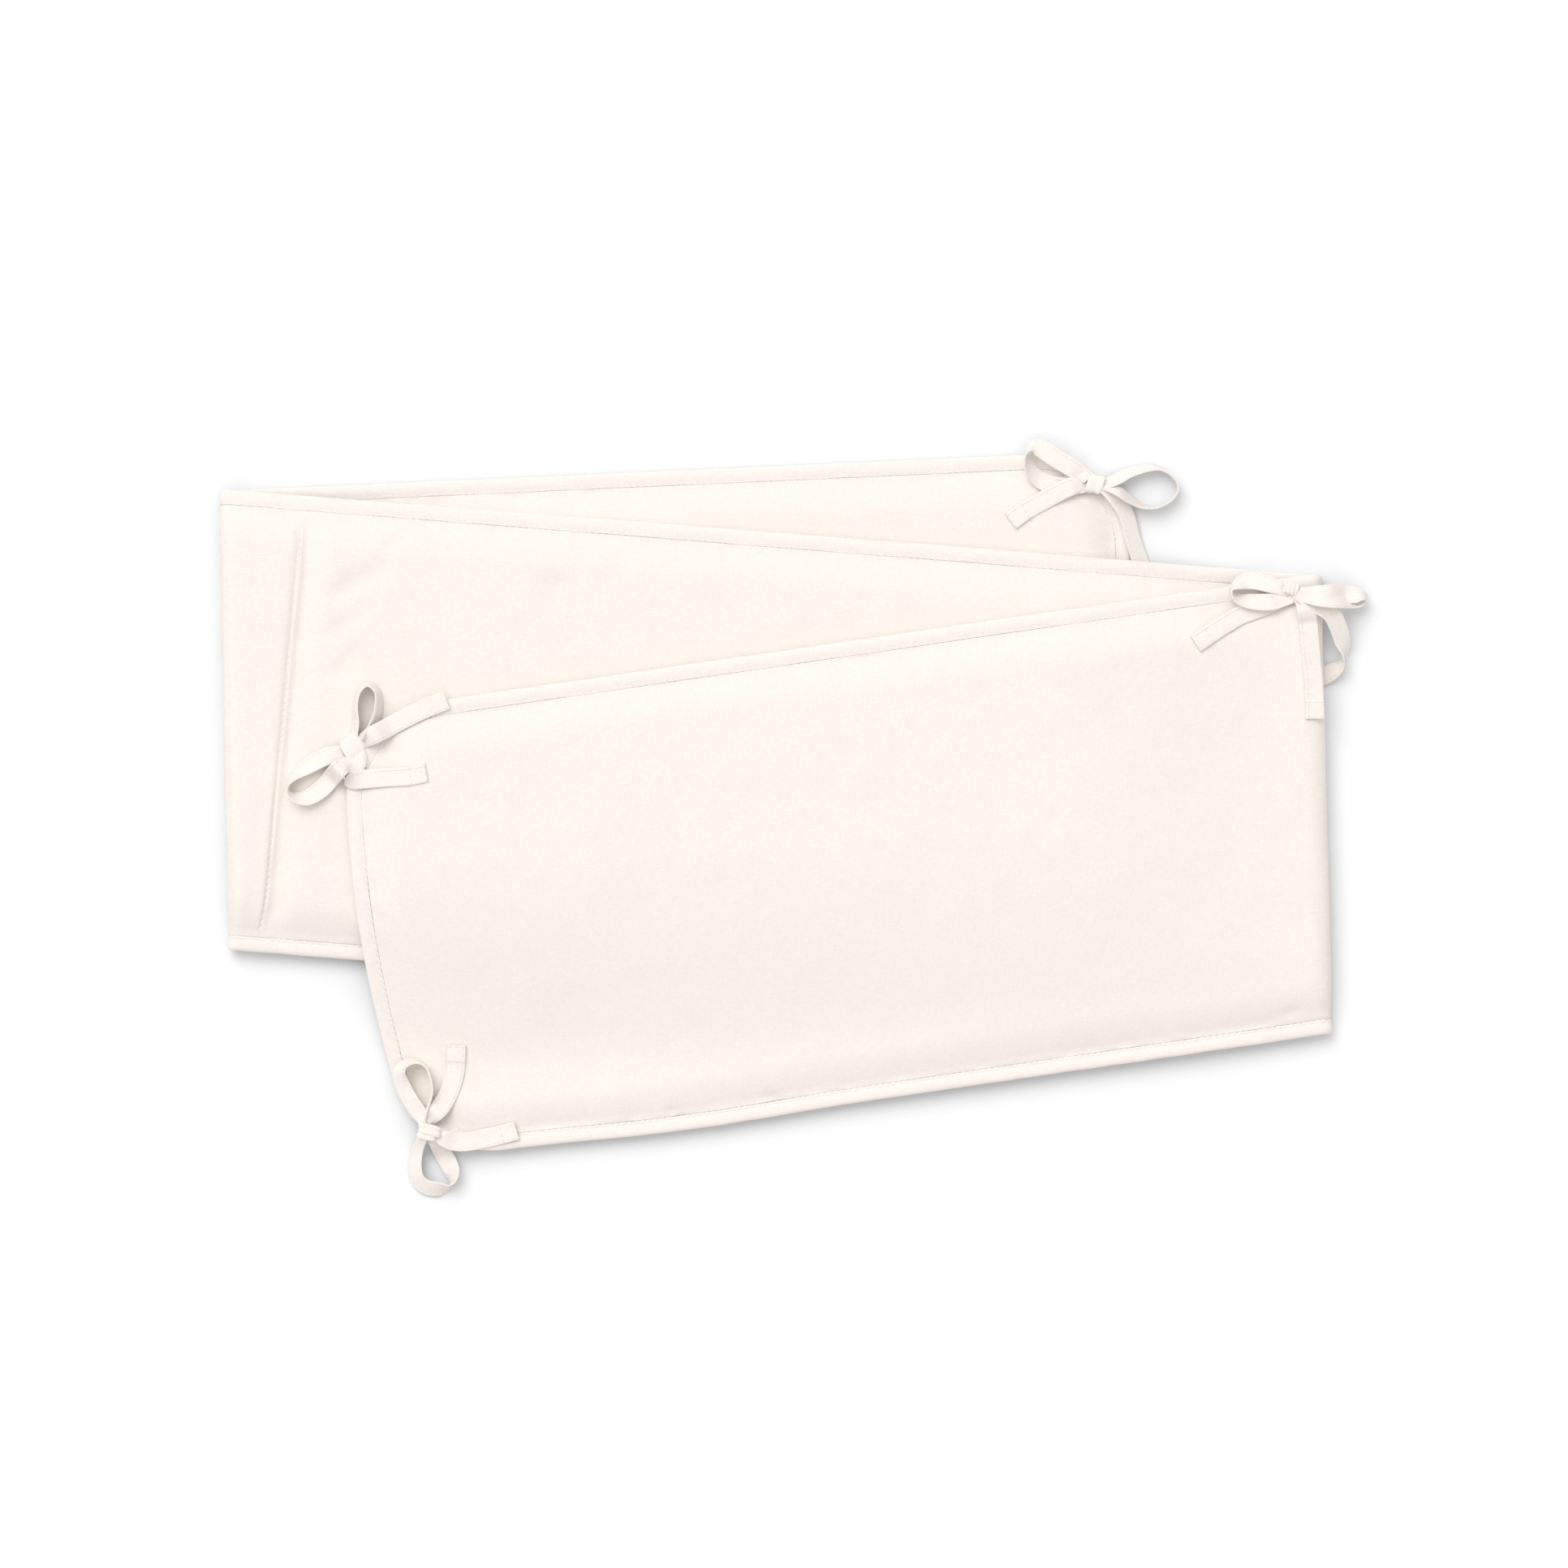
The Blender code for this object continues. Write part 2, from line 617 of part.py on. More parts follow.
def tape(name, points, ground=None, tied_at=None):
    """A flat tape along a route. Its third column is a lift over the ground, or a height.

    Close to the knot that it is tied at, the tape comes to the height of the knot's middle.
    """
    route = smooth_route(points, TAPE_STEP)
    frames = [across_and_out(route, k, p[3]) for k, p in enumerate(route)]
    heights = [p[2] for p in route]
    if ground:
        rests = []
        for place, (across, out) in zip(route, frames):
            rests.append(resting_height(ground, place, across, out))
        last = len(rests) - 1
        highest = [max(rests[max(k - 1, 0) : k + 2]) for k in range(last + 1)]
        for k in range(last + 1):
            near = highest[max(k - 1, 0) : min(k + 1, last) + 1]
            heights[k] = max(heights[k], 0.0) + max(sum(near) / len(near), rests[k])
            if tied_at is not None:
                away = (Vector(route[k][:2]) - tied_at.to_2d()).length
                pull = 1.0 - smooth((away - KNOT_CORE) / KNOT_REACH)
                heights[k] = max(mix(heights[k], tied_at.z, pull), rests[k])
    bm = bmesh.new()
    rings = []
    for place, height, (across, out) in zip(route, heights, frames):
        middle = Vector((place[0], place[1], height))
        side, face = across * TAPE_WIDTH / 2, out * TAPE_THICKNESS / 2
        corners = (side + face, -side + face, -side - face, side - face)
        rings.append([bm.verts.new(middle + corner) for corner in corners])
    for first, second in zip(rings, rings[1:]):
        join_rings(bm, first, second)
    bm.faces.new(rings[0])
    bm.faces.new(rings[-1])
    return mesh_object(name, bm, "tape")


def knot(name, spec, ground):
    """A tight knot: a block with well rounded edges, standing just clear of the strip."""
    x, y, turn, length, width, height = spec
    bm = bmesh.new()
    bmesh.ops.create_cube(bm, size=1.0)
    bmesh.ops.scale(bm, vec=(length, width, height), verts=bm.verts)
    bmesh.ops.bevel(
        bm, geom=bm.edges[:], offset=min(width, height) * 0.32, segments=3, profile=0.5,
        affect="EDGES",
    )
    angle = math.radians(turn)
    rests = 0.0
    for vert in bm.verts:
        spun_x = vert.co.x * math.cos(angle) - vert.co.y * math.sin(angle)
        spun_y = vert.co.x * math.sin(angle) + vert.co.y * math.cos(angle)
        vert.co.x, vert.co.y = x + spun_x, y + spun_y
        if vert.co.z < 0.0:
            under = ground.height(vert.co.x, vert.co.y)
            rests = max(rests, under + TAPE_CLEARANCE - vert.co.z)
    bmesh.ops.translate(bm, vec=(0.0, 0.0, rests), verts=bm.verts)
    return mesh_object(name, bm, "tape"), Vector((x, y, rests))


def join(body, extras):
    """Makes one body of a knot and its tapes."""
    for extra in extras:
        extra.hide_render = True
        extra.display_type = "WIRE"
        union = body.modifiers.new(extra.name, "BOOLEAN")
        union.operation = "UNION"
        union.solver = "MANIFOLD"
        union.object = extra
    return body


def make_bow(name, spec, ground):
    x, y = spec["knot"][:2]
    body, middle = knot(name, spec["knot"], ground)
    tapes = []
    for part, points in spec["tapes"].items():
        placed = [(x + p[0], y + p[1], p[2], p[3]) for p in points]
        tapes.append(tape(f"{name}_{part}", placed, ground, middle))
    if "hanging" in spec:
        placed = [(x + p[0], y + p[1], p[2], p[3]) for p in spec["hanging"]]
        tapes.append(tape(f"{name}_hanging", placed))
    return join(body, tapes)


def make_hidden_tie():
    tapes = []
    for part, points in HIDDEN_TIE.items():
        name = "tie_hidden_corner" if not tapes else f"tie_hidden_corner_{part}"
        tapes.append(tape(name, [(*p, 0.0) for p in points]))
    return join(tapes[0], tapes[1:])


def main():
    for old in list(bpy.data.objects):
        bpy.data.objects.remove(old)
    ground = Ground([make_pad(), make_binding()])
    for name, spec in BOWS.items():
        make_bow(name, spec, ground)
    make_hidden_tie()


main()
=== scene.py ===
"""The look of a crib bumper folded in three: cream cotton, bound edges and tape ties.

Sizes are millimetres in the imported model's own frame until a mesh is made. The strip is worked
out flat first, as it is sewn: s along it, t across it, d in from the nearest edge. It is then
folded about the same lines as the solids. Soft edges and drapes leave them by a few millimetres.
"""

import math

import bpy
import numpy as np
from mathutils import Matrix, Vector
from mathutils.bvhtree import BVHTree


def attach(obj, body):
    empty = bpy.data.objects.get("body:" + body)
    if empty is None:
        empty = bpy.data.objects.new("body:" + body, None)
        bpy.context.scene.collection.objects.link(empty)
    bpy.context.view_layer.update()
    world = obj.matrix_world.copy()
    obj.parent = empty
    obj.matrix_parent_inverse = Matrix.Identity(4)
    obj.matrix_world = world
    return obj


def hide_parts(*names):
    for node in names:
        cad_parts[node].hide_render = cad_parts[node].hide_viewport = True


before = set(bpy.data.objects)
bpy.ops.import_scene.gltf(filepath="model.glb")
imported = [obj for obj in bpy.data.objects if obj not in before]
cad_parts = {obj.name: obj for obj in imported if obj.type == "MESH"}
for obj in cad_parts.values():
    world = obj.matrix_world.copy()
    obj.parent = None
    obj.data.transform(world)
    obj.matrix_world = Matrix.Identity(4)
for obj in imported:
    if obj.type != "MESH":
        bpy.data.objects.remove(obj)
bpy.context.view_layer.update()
MM = 0.001

# ---- the strip's sizes

STRIP_WIDTH = 300.0
CORNER_RADIUS = 60.0
PAD_THICKNESS = 10.0
SEAM_REACH = 22.0  # how far a cross seam draws the padding in, on its open side
SEAM_REACH_AT_FOLD = 4.0
SEAM_RIDGE = 0.14  # share of the padding's height lost at the stitches, which ride on a ridge
SEAM_TROUGH = 0.55  # and lost a little way beside them, on the open side
SEAM_TROUGH_PLACE = 5.5
SEAM_GROOVE = 0.7  # depth and half width of the groove that the stitches themselves pull
SEAM_GROOVE_HALF = 1.3
SEAM_LINES = (-4.2, -2.4, -1.4, -0.7, 0.0, 0.7, 1.4, 2.4, 4.0, 5.8, 8.0)  # the pad's lines there
PAD_STEPS = (3.8, 4.6)  # the longest steps of the pad's grid, along and across
TONGUE_THICKNESS = 2.0
TONGUE_INSET = 1.5
EDGE_RISE_START = 10.5
EDGE_RISE = 25.0
EDGE_ROLL = 0.5  # the cloth's first small roll out of the binding
EDGE_SPRING = 8.0  # how far the stiff lower edge of the top layer is held off what is under it
EDGE_SPRING_REACH = 75.0
LOW_EDGE_SAG = (0.68, 0.12, 1.8)  # its place and half length along the top layer, and its depth
CORNER_DRAWN_UP = (0.72, 0.2, 2.7)  # its start and length along the top layer, and its height
BINDING_WIDTH = 10.0
BINDING_WALL = 1.0
PIECE_GAP = 0.3
BINDING_HALF = TONGUE_THICKNESS / 2 + PIECE_GAP + BINDING_WALL
LAYER_PITCH = 12.0
DRAPE_INSIDE = 55.0
DRAPE_OUTSIDE = 105.0

# Lines across the strip, seen from above: upper end (x, y), lower end (x, y), outward bow.
LINES = {
    "first_end": ((218.4, 242.7), (232.8, -57.9), 0.0),
    "left_fold": ((-378.7, 216.4), (-372.8, -86.9), 0.0),
    "right_fold": ((347.2, 161.0), (354.7, -141.8), 0.0),
    "last_end": ((-295.6, 68.8), (-247.6, -228.7), 12.8),
}
SEAMS = {"left_seam": (0.0653, 0.0160), "right_seam": (0.975, 0.930)}

# Puckers that the binding's stitching draws up in the cloth beside it: pitch, reach, depth.
EDGE_PUCKERS = ((6.5, 5.0, 0.65), (12.0, 11.0, 1.45), (27.0, 20.0, 1.7))
PUCKER_SLANT = (0.9, 45.0)  # how far aslant they run, and over what length that changes
PUCKER_SPELL = 60.0  # length of the spells with more and with fewer of them
SEAM_PUCKERS = ((8.0, 7.0, 0.55), (19.0, 15.0, 1.0))
# Broad unevenness of the padding: pitch, depth.
SWELLS = ((9.0, 0.08), (17.0, 0.17), (38.0, 0.34), (85.0, 0.36))
SWELLS_FULL = 30.0  # how far in they reach their full depth
HIDDEN_RELIEF = 0.4  # share of all this left on the faces that look down
# Creases in the middle and top layers: layer, from x, y to x, y, half width, depth.
CREASES = (
    (2, -249.5, 190.4, -271.6, 174.0, 4.0, 1.1),
    (2, -258.8, 170.3, -312.1, 140.9, 6.5, 1.8),
    (2, -271.6, 144.6, -313.7, 115.2, 5.0, 1.3),
    (2, -284.4, 113.5, -306.4, 85.8, 5.0, 1.3),
    (2, -155.9, 164.7, -159.1, 132.7, 9.0, 1.0),
    (3, 335.0, -123.7, 317.4, -130.1, 2.5, 1.1),
    (3, -71.0, -198.0, -84.0, -189.0, 3.0, 1.6),
    (3, -106.0, -197.0, -112.0, -205.0, 2.0, 1.3),
    (3, -4.0, -185.0, -22.0, -182.0, 4.0, 1.4),
)

STITCH_PITCH = 4.4
STITCH_LENGTH = 3.3
STITCH_THICK = 0.74
STITCH_INSET = 8.5  # how far in from the edge the binding's stitch line runs
STITCH_LIFT = 0.12  # how far a stitch's middle stands off the cloth

# ---- the ties' sizes

TAPE_WIDTH = 12.5
TAPE_THICKNESS = 1.2
TAPE_CLEARANCE = 0.3
TAPE_STEP = 1.6
TAPE_STITCH_INSET = 1.9
TAPE_STITCH_PITCH = 3.4
HEM_LENGTH = 12.0
HEM_THICKNESS = 0.7
OPEN_ABOVE = 100.0
KNOT_CORE = 4.0
KNOT_REACH = 14.0
KNOT_FOOT = ((0.0, 0.0), (5.0, 0.0), (-5.0, 0.0), (0.0, 5.0), (0.0, -5.0))
PLEAT_DEPTH = 1.1
ROOT_WIDTH = 0.74  # share of a tape's width left where the knot gathers it
ROOT_FOLD = 1.5  # height of the fold that the gathering leaves
TAPE_WANDER = (0.22, 14.0)  # how far a tape's edges wander, and over what length
TAPE_CUPPING = (0.35, 26.0)  # how far its faces cup, and over what length
FLAT_APART = 100.0  # how far apart the tapes lie on the flat cloth, and a tape's two faces
FACES_APART = 40.0
WRAP_STEPS = 44  # points round a band, and lines of them across each of its faces
WRAP_LINES = 25

# A tape's points are x, y from the knot, its lift over what it lies on, and its lean: 0 lies flat
# and 90 stands on edge. A hanging tape's third column is the height of its middle. A wrap is a
# band round the knot: x, y from the knot, the way the bow runs under it in degrees, the band's
# width, its reach across, its height, and its pleats.
BOWS = {
    "bow_back_right": {
        "knot": (197.5, 220.1, 9.0),
        "wraps": ((-6.5, 5.0, 140.0, 6.5, 8.5, 7.0, 0.4), (0.5, 0.0, -12.0, 11.0, 13.0, 9.5, 0.6)),
        "tapes": {
            "left_loop": (
                (-1.1, 2.1, 5, 0), (-8.5, 6.9, 6, 0), (-23.5, 16.0, 7, 5), (-35.7, 23.5, 7, 20),
                (-42.1, 24.5, 5, 60), (-44.8, 19.2, 3, 95), (-42.1, 10.1, 1, 130),
                (-35.7, 3.2, 0, 155), (-26.1, -1.1, 0, 170), (-15.5, -1.1, 1, 175),
                (-3.7, -0.5, 2, 178),
            ),
            "right_loop": (
                (2.8, -0.5, 2, -45), (13.9, 3.2, 2, -50), (22.9, 7.5, 1, -56), (34.6, 10.7, 0, -65),
                (44.2, 10.1, 0, -80), (52.2, 4.3, 0, -90), (55.4, -2.7, 0, -90),
                (51.2, -10.1, 0, -92), (42.1, -14.9, 0, -95), (32.5, -14.4, 0, -105),
                (22.9, -9.6, 0, -118), (14.4, -4.3, 0, -122), (4.9, -1.1, 1, -125),
            ),
            "left_tail": (
                (-2.1, -0.5, 3, 0), (-9.6, -0.5, 3, 0), (-17.6, -2.4, 2, 0), (-28.8, -8.3, 0, 0),
                (-44.2, -16.5, 0, 0), (-55.2, -24.4, 0, 0),
            ),
        },
        "hanging": (
            (2.8, -0.5, 10.5, -10), (8.0, -2.7, 11.0, -16), (14.2, -8.5, 9.6, -26),
            (21.3, -20.3, 7.4, -32), (26.0, -37.3, 5.6, -32), (30.2, -50.0, 4.1, -26),
            (35.7, -67.2, 3.2, -15),
        ),
    },
    "bow_fold_right": {
        "knot": (326.5, 150.3, 8.0),
        "wraps": ((6.6, -5.2, -48.0, 9.0, 9.0, 6.5, 0.6), (-0.2, 0.8, -12.0, 10.5, 8.8, 9.0, 3.6)),
        "tapes": {
            "left_tail": (
                (-0.5, -2.1, 1, 0), (-11.2, -8.0, 0, 0), (-24.0, -12.8, 0, 0),
                (-33.6, -16.5, 0, 0), (-45.8, -23.7, 0, 0), (-63.4, -35.2, 0, 0),
            ),
            "right_tail": (
                (2.7, -1.6, 2, 0), (8.0, -8.0, 1, -4), (10.4, -18.1, 0, -8), (12.4, -38.4, 0, -10),
                (14.8, -61.3, 0, -10), (15.4, -84.7, 0, -4),
            ),
            "left_loop": (
                (-1.6, 0.0, 2, 20), (-7.5, 1.6, 3, 25), (-19.7, 5.3, 4, 25), (-28.8, 5.9, 4, 30),
                (-35.7, 3.7, 3, 55), (-39.4, -0.5, 1, 90), (-34.6, -5.9, 1, 125),
                (-22.4, -8.0, 1, 150), (-10.7, -7.8, 1, 155), (0.5, -4.8, 1, 160),
            ),
            "right_loop": (
                (2.7, -1.1, 5, -15), (10.7, -3.0, 7, -14), (22.4, -2.6, 8, -14),
                (36.8, -2.6, 8, -16), (46.6, -3.6, 6, -45), (49.4, -6.2, 3, -90),
                (45.8, -7.9, 0, -122), (36.8, -7.8, 0, -132), (22.4, -7.2, 0, -136),
                (4.8, -3.2, 1, -150),
            ),
        },
        "hanging": (
            (3.8, -2.2, 25.0, 0), (14.5, -8.1, 24.5, -5), (24.9, -14.4, 22.5, -12),
            (31.0, -24.0, 18.0, -16), (34.2, -34.0, 13.0, -30), (35.3, -42.5, 9.0, -75),
            (32.0, -49.5, 6.0, -128), (26.0, -54.0, 3.2, -160), (20.2, -57.0, 2.0, -175),
        ),
    },
    "bow_front_left_top": {
        "knot": (-290.2, 46.9, 9.0),
        "wraps": ((4.6, -9.4, 52.0, 10.0, 12.5, 6.2, 1.2), (0.4, 0.8, 38.0, 14.5, 15.5, 9.5, 0.4)),
        "tapes": {
            "upper_loop": (
                (1.6, 3.7, 1, -64), (1.4, 9.1, 1, -64), (2.6, 16.0, 0, -68), (2.2, 26.7, 0, -74),
                (4.6, 36.8, 0, -76), (10.8, 41.6, 0, -76), (16.9, 36.4, 0, -74),
                (17.6, 26.7, 0, -68), (15.4, 17.6, 0, -66), (8.0, 3.9, 0, -70),
            ),
            "lower_tail": (
                (4.3, 0.0, 2, 0), (5.3, -7.5, 2, 0), (2.0, -14.0, 2, -12), (-2.6, -18.0, 1, -60),
                (-4.6, -20.6, 0, -95), (-1.0, -21.8, 0, -150), (7.5, -20.8, 0, -176),
                (22.1, -19.7, 0, -180), (36.8, -18.7, 0, -180), (49.3, -16.5, 0, -180),
            ),
            "left_loop": (
                (-1.1, -1.0, 2, 12), (-6.9, -3.2, 2, 15), (-18.1, -6.6, 2, 20),
                (-29.8, -12.6, 1, 32), (-39.0, -19.9, 0, 66), (-42.1, -26.7, 0, 90),
                (-38.4, -32.0, 0, 118), (-29.8, -33.0, 0, 150), (-21.3, -28.2, 0, 165),
                (-13.9, -20.3, 0, 170), (-6.4, -12.3, 1, 170), (-0.5, -3.8, 2, 165),
            ),
            "upper_tail": (
                (0.1, 0.6, 4, 0), (6.4, 3.7, 4, 0), (27.4, 15.2, 0, 0), (46.4, 24.5, 0, 0),
                (62.4, 31.2, 0, 0),
            ),
        },
    },
    "bow_front_left_bottom": {
        "knot": (-240.6, -205.2, 9.0),
        "wraps": ((-1.2, -3.4, 84.0, 5.0, 12.5, 8.0, 0.6), (1.0, 0.8, 80.0, 7.5, 15.5, 9.5, 1.2)),
        "tapes": {
            "upper_loop": (
                (-1.6, 3.2, 3, -20), (-3.7, 8.0, 3, -25), (-10.7, 17.9, 3, -30),
                (-16.5, 28.8, 3, -32), (-19.2, 37.3, 3, -45), (-16.0, 43.7, 2, -65),
                (-8.0, 45.8, 1, -80), (-1.3, 42.1, 0, -90), (1.9, 33.6, 0, -92),
                (2.4, 25.1, 0, -95), (0.0, 16.5, 0, -95), (-2.1, 8.5, 1, -95),
                (-1.6, 2.2, 2, -95),
            ),
            "lower_loop": (
                (-1.1, 0.1, 2, 40), (-4.3, -4.8, 1, 48), (-7.8, -14.1, 0, 50), (-9.2, -24.0, 0, 46),
                (-7.4, -32.5, 0, 40), (-1.5, -37.6, 0, 35), (7.1, -38.4, 0, 45),
                (14.4, -35.6, 0, 95), (14.9, -27.0, 0, 150), (9.9, -15.6, 0, 168),
                (3.9, -5.3, 1, 172), (-0.5, 0.4, 2, 172),
            ),
            "right_tail": (
                (-0.5, 0.5, 2, 0), (4.8, -1.1, 1, 0), (11.7, -5.3, 0, 0), (22.7, -7.5, 0, 0),
                (38.4, -4.8, 0, 0), (49.6, -1.9, 0, 0), (58.1, 0.5, 0, 0),
            ),
            "up_tail": (
                (-1.6, 1.1, 3, 0), (-0.5, 6.4, 3, 0), (6.7, 14.1, 2, 0), (13.3, 25.1, 0, 0),
                (17.1, 36.2, 0, 0), (18.4, 45.8, 0, 0), (18.7, 56.5, 0, 0),
            ),
        },
    },
}
# The fourth corner's tie, flat between the layers: two tapes, x, y, height of the middle, lean.
HIDDEN_TIE = {
    "end_tail": (
        (204.0, -39.0, 6.6, 0), (217.0, -18.0, 6.6, 0), (222.0, 12.0, 6.6, 0), (220.0, 62.0, 6.6, 0),
    ),
    "edge_tail": (
        (215.0, -30.0, 6.6, 0), (193.0, -47.0, 6.6, 0), (160.0, -52.0, 6.6, 0),
        (105.0, -54.0, 6.6, 0),
    ),
}

# ---- colours and light

COTTON = (0.893, 0.849, 0.802)
TAPE_COTTON = (0.902, 0.860, 0.820)
THREAD = (0.945, 0.902, 0.855)
FLOOR = (0.930, 0.945, 0.962)
# Painted shadow on the floor: its colour darkens to this tone right against the cloth, within this
# reach, by ambient occlusion.
FLOOR_PAINTED_SHADOW = (0.68, 0.725, 0.755)  # its tone right against the cloth
PAINTED_SHADOW_REACH = 0.035
FLOOR_SIZE = 60.0  # metres, so that its edge is far off in a low view too
FLOOR_LEVEL = -0.0002
ROOM_LIGHT = (1.0, 0.955, 0.930)  # a little warm, as white walls give it back
ROOM_LIGHT_STRENGTH = 0.60
# Tilt from straight above, bearing left of the top, spread, all in degrees, and strength.
LIGHTS = {"key_light": (35.0, 32.0, 44.0, 0.35), "top_light": (0.0, 0.0, 90.0, 0.17)}

# The finishes' grain, in metres and in counts to a metre.
THREAD_PITCH = 0.0006
WEAVE_RELIEF = 0.00022
SLUBS = 130.0
MOTTLES = 420.0
BLOTCHES = 55.0
STRANDS = 2500.0

PICTURE_WIDTH = 1.030  # metres of the surface that the picture takes in
PICTURE_CENTRE = (-0.0067, 0.0229)
CAMERA_LENS = 200.0
SENSOR_WIDTH = 36.0
CAMERA_LEVEL = 0.020  # the height at which that width is right
CAMERA_SIGHT = 50.0


def smooth(x):
    """0 below 0, 1 above 1, and a soft S between."""
    x = np.clip(x, 0.0, 1.0)
    return x * x * (3.0 - 2.0 * x)


def mix(a, b, share):
    return a + (b - a) * share


def unevenness(u, v, seed):
    """Smooth random heights from -1 to 1, with about one hump or hollow to a unit of u and v."""
    size = 256
    heights = np.random.default_rng(seed).uniform(-1.0, 1.0, (size, size))
    low_u, low_v = np.floor(u).astype(int), np.floor(v).astype(int)
    share_u, share_v = smooth(u - low_u), smooth(v - low_v)
    low_u, low_v = low_u % size, low_v % size
    high_u, high_v = (low_u + 1) % size, (low_v + 1) % size
    near = mix(heights[low_u, low_v], heights[high_u, low_v], share_u)
    far = mix(heights[low_u, high_v], heights[high_u, high_v], share_u)
    return mix(near, far, share_v)


# ---- the strip folded in three


def line_points(name, t):
    """The points of one line across the strip, at t from its upper end."""
    top, bottom, bow = LINES[name]
    top, bottom = np.array(top), np.array(bottom)
    along = bottom - top
    outward = np.array((along[1], -along[0])) / np.hypot(*along)
    share = (t / STRIP_WIDTH)[:, None]
    return top + along * share + outward * bow * 4.0 * share * (1.0 - share)


def cover(points, start, end):
    """1 well to the left of the line from start to end, falling softly to 0 to its right."""
    start, end = np.array(start), np.array(end)
    along = (end - start) / np.hypot(*(end - start))
    away = points - start
    distance = along[0] * away[:, 1] - along[1] * away[:, 0]
    return smooth((distance + DRAPE_OUTSIDE) / (DRAPE_OUTSIDE + DRAPE_INSIDE))


def underside(layer, points):
    """The height at which a layer's underside rests."""
    end_top, end_bottom, _ = LINES["first_end"]
    left_top, left_bottom, _ = LINES["left_fold"]
    right_top, right_bottom, _ = LINES["right_fold"]
    height = np.zeros(len(points))
    if layer >= 2:
        height += (
            LAYER_PITCH
            * cover(points, end_top, left_top)
            * cover(points, left_bottom, end_bottom)
            * cover(points, end_bottom, end_top)
        )
    if layer >= 3:
        height += (
            LAYER_PITCH
            * cover(points, right_top, left_top)
            * cover(points, left_bottom, right_bottom)
        )
    return height


def edge_rise(d):
    """How far the padding has risen: 0 in the binding, 1 at its full thickness."""
    return np.sin(math.pi / 2 * np.clip((d - EDGE_RISE_START) / EDGE_RISE, 0.0, 1.0))


FOLD_LENGTH = math.pi * LAYER_PITCH / 2
LOWER_LAYER = {"left_fold": 1, "right_fold": 2}


def fold_axis(name, t):
    """The line about which the strip turns back, and the direction out of the fold."""
    top, bottom, _ = LINES[name]
    along = np.array(bottom) - np.array(top)
    along /= np.hypot(*along)
    inward = np.array((-along[1], along[0]))
    if name == "right_fold":
        inward = -inward
    edge = line_points(name, t)
    low = LOWER_LAYER[name]
    radius = (underside(low + 1, edge) - underside(low, edge)) / 2
    reach = radius + mix(BINDING_HALF, PAD_THICKNESS / 2, edge_rise(np.minimum(t, STRIP_WIDTH - t)))
    return edge + inward * reach[:, None], -inward


def layer_end(name, t):
    """Where a layer ends: at an end of the strip, or at the line about which it turns back."""
    return fold_axis(name, t)[0] if name in LOWER_LAYER else line_points(name, t)


def mean_length(first, last):
    edges = np.array((0.0, STRIP_WIDTH))
    return float(np.linalg.norm(layer_end(last, edges) - layer_end(first, edges), axis=1).mean())


BOTTOM_END = mean_length("first_end", "left_fold")
MIDDLE_START = BOTTOM_END + FOLD_LENGTH
MIDDLE_LENGTH = mean_length("left_fold", "right_fold")
MIDDLE_END = MIDDLE_START + MIDDLE_LENGTH
TOP_START = MIDDLE_END + FOLD_LENGTH
STRIP_LENGTH = TOP_START + mean_length("right_fold", "last_end")
SEAM_PLACES = {
    name: MIDDLE_START + MIDDLE_LENGTH * (upper + lower) / 2
    for name, (upper, lower) in SEAMS.items()
}


def middle_share(s, t):
    """How far along the middle layer a point lies: the cross seams run a little aslant of it."""
    across = t / STRIP_WIDTH
    places = [MIDDLE_START, *SEAM_PLACES.values(), MIDDLE_END]
    shares = [0.0 * across, *(mix(a, b, across) for a, b in SEAMS.values()), 1.0 + 0.0 * across]
    found = np.zeros_like(s)
    for k in range(3):
        inside = (s >= places[k]) & (s <= places[k + 1])
        part = (s - places[k]) / (places[k + 1] - places[k])
        found = np.where(inside, mix(shares[k], shares[k + 1], part), found)
    return found


def low_edge_shift(share, t):
    """The top layer's lower edge sags a little, and its corner is drawn up by the bow."""
    place, half_length, depth = LOW_EDGE_SAG
    start, length, height = CORNER_DRAWN_UP
    sag = depth * np.exp(-(((share - place) / half_length) ** 2))
    drawn_up = height * smooth((share - start) / length)
    return (drawn_up - sag) * smooth((t - STRIP_WIDTH * 0.43) / (STRIP_WIDTH * 0.57))


def middle_surface(s, t):
    """The strip's middle surface, folded, as if it had its full thickness everywhere."""
    found = np.empty((len(s), 3))
    layers = (
        (s <= BOTTOM_END, 1, "first_end", "left_fold", s / BOTTOM_END),
        ((s >= MIDDLE_START) & (s <= MIDDLE_END), 2, "left_fold", "right_fold", middle_share(s, t)),
        (s >= TOP_START, 3, "right_fold", "last_end", (s - TOP_START) / (STRIP_LENGTH - TOP_START)),
    )
    for rows, layer, start, end, share in layers:
        place = mix(layer_end(start, t[rows]), layer_end(end, t[rows]), share[rows, None])
        if layer == 3:
            place[:, 1] += low_edge_shift(share[rows], t[rows])
        found[rows, :2] = place
        found[rows, 2] = underside(layer, place) + PAD_THICKNESS / 2
    folds = (
        ((s > BOTTOM_END) & (s < MIDDLE_START), "left_fold", (s - BOTTOM_END) / FOLD_LENGTH),
        ((s > MIDDLE_END) & (s < TOP_START), "right_fold", (s - MIDDLE_END) / FOLD_LENGTH),
    )
    for rows, name, turn in folds:
        axis, outward = fold_axis(name, t[rows])
        low = underside(LOWER_LAYER[name], axis)
        high = underside(LOWER_LAYER[name] + 1, axis)
        radius = (high - low) / 2
        angle = math.pi * turn[rows]
        found[rows, :2] = axis + outward * (radius * np.sin(angle))[:, None]
        found[rows, 2] = (low + high) / 2 - radius * np.cos(angle) + PAD_THICKNESS / 2
    return found


def unit(vectors):
    return vectors / np.linalg.norm(vectors, axis=-1, keepdims=True)


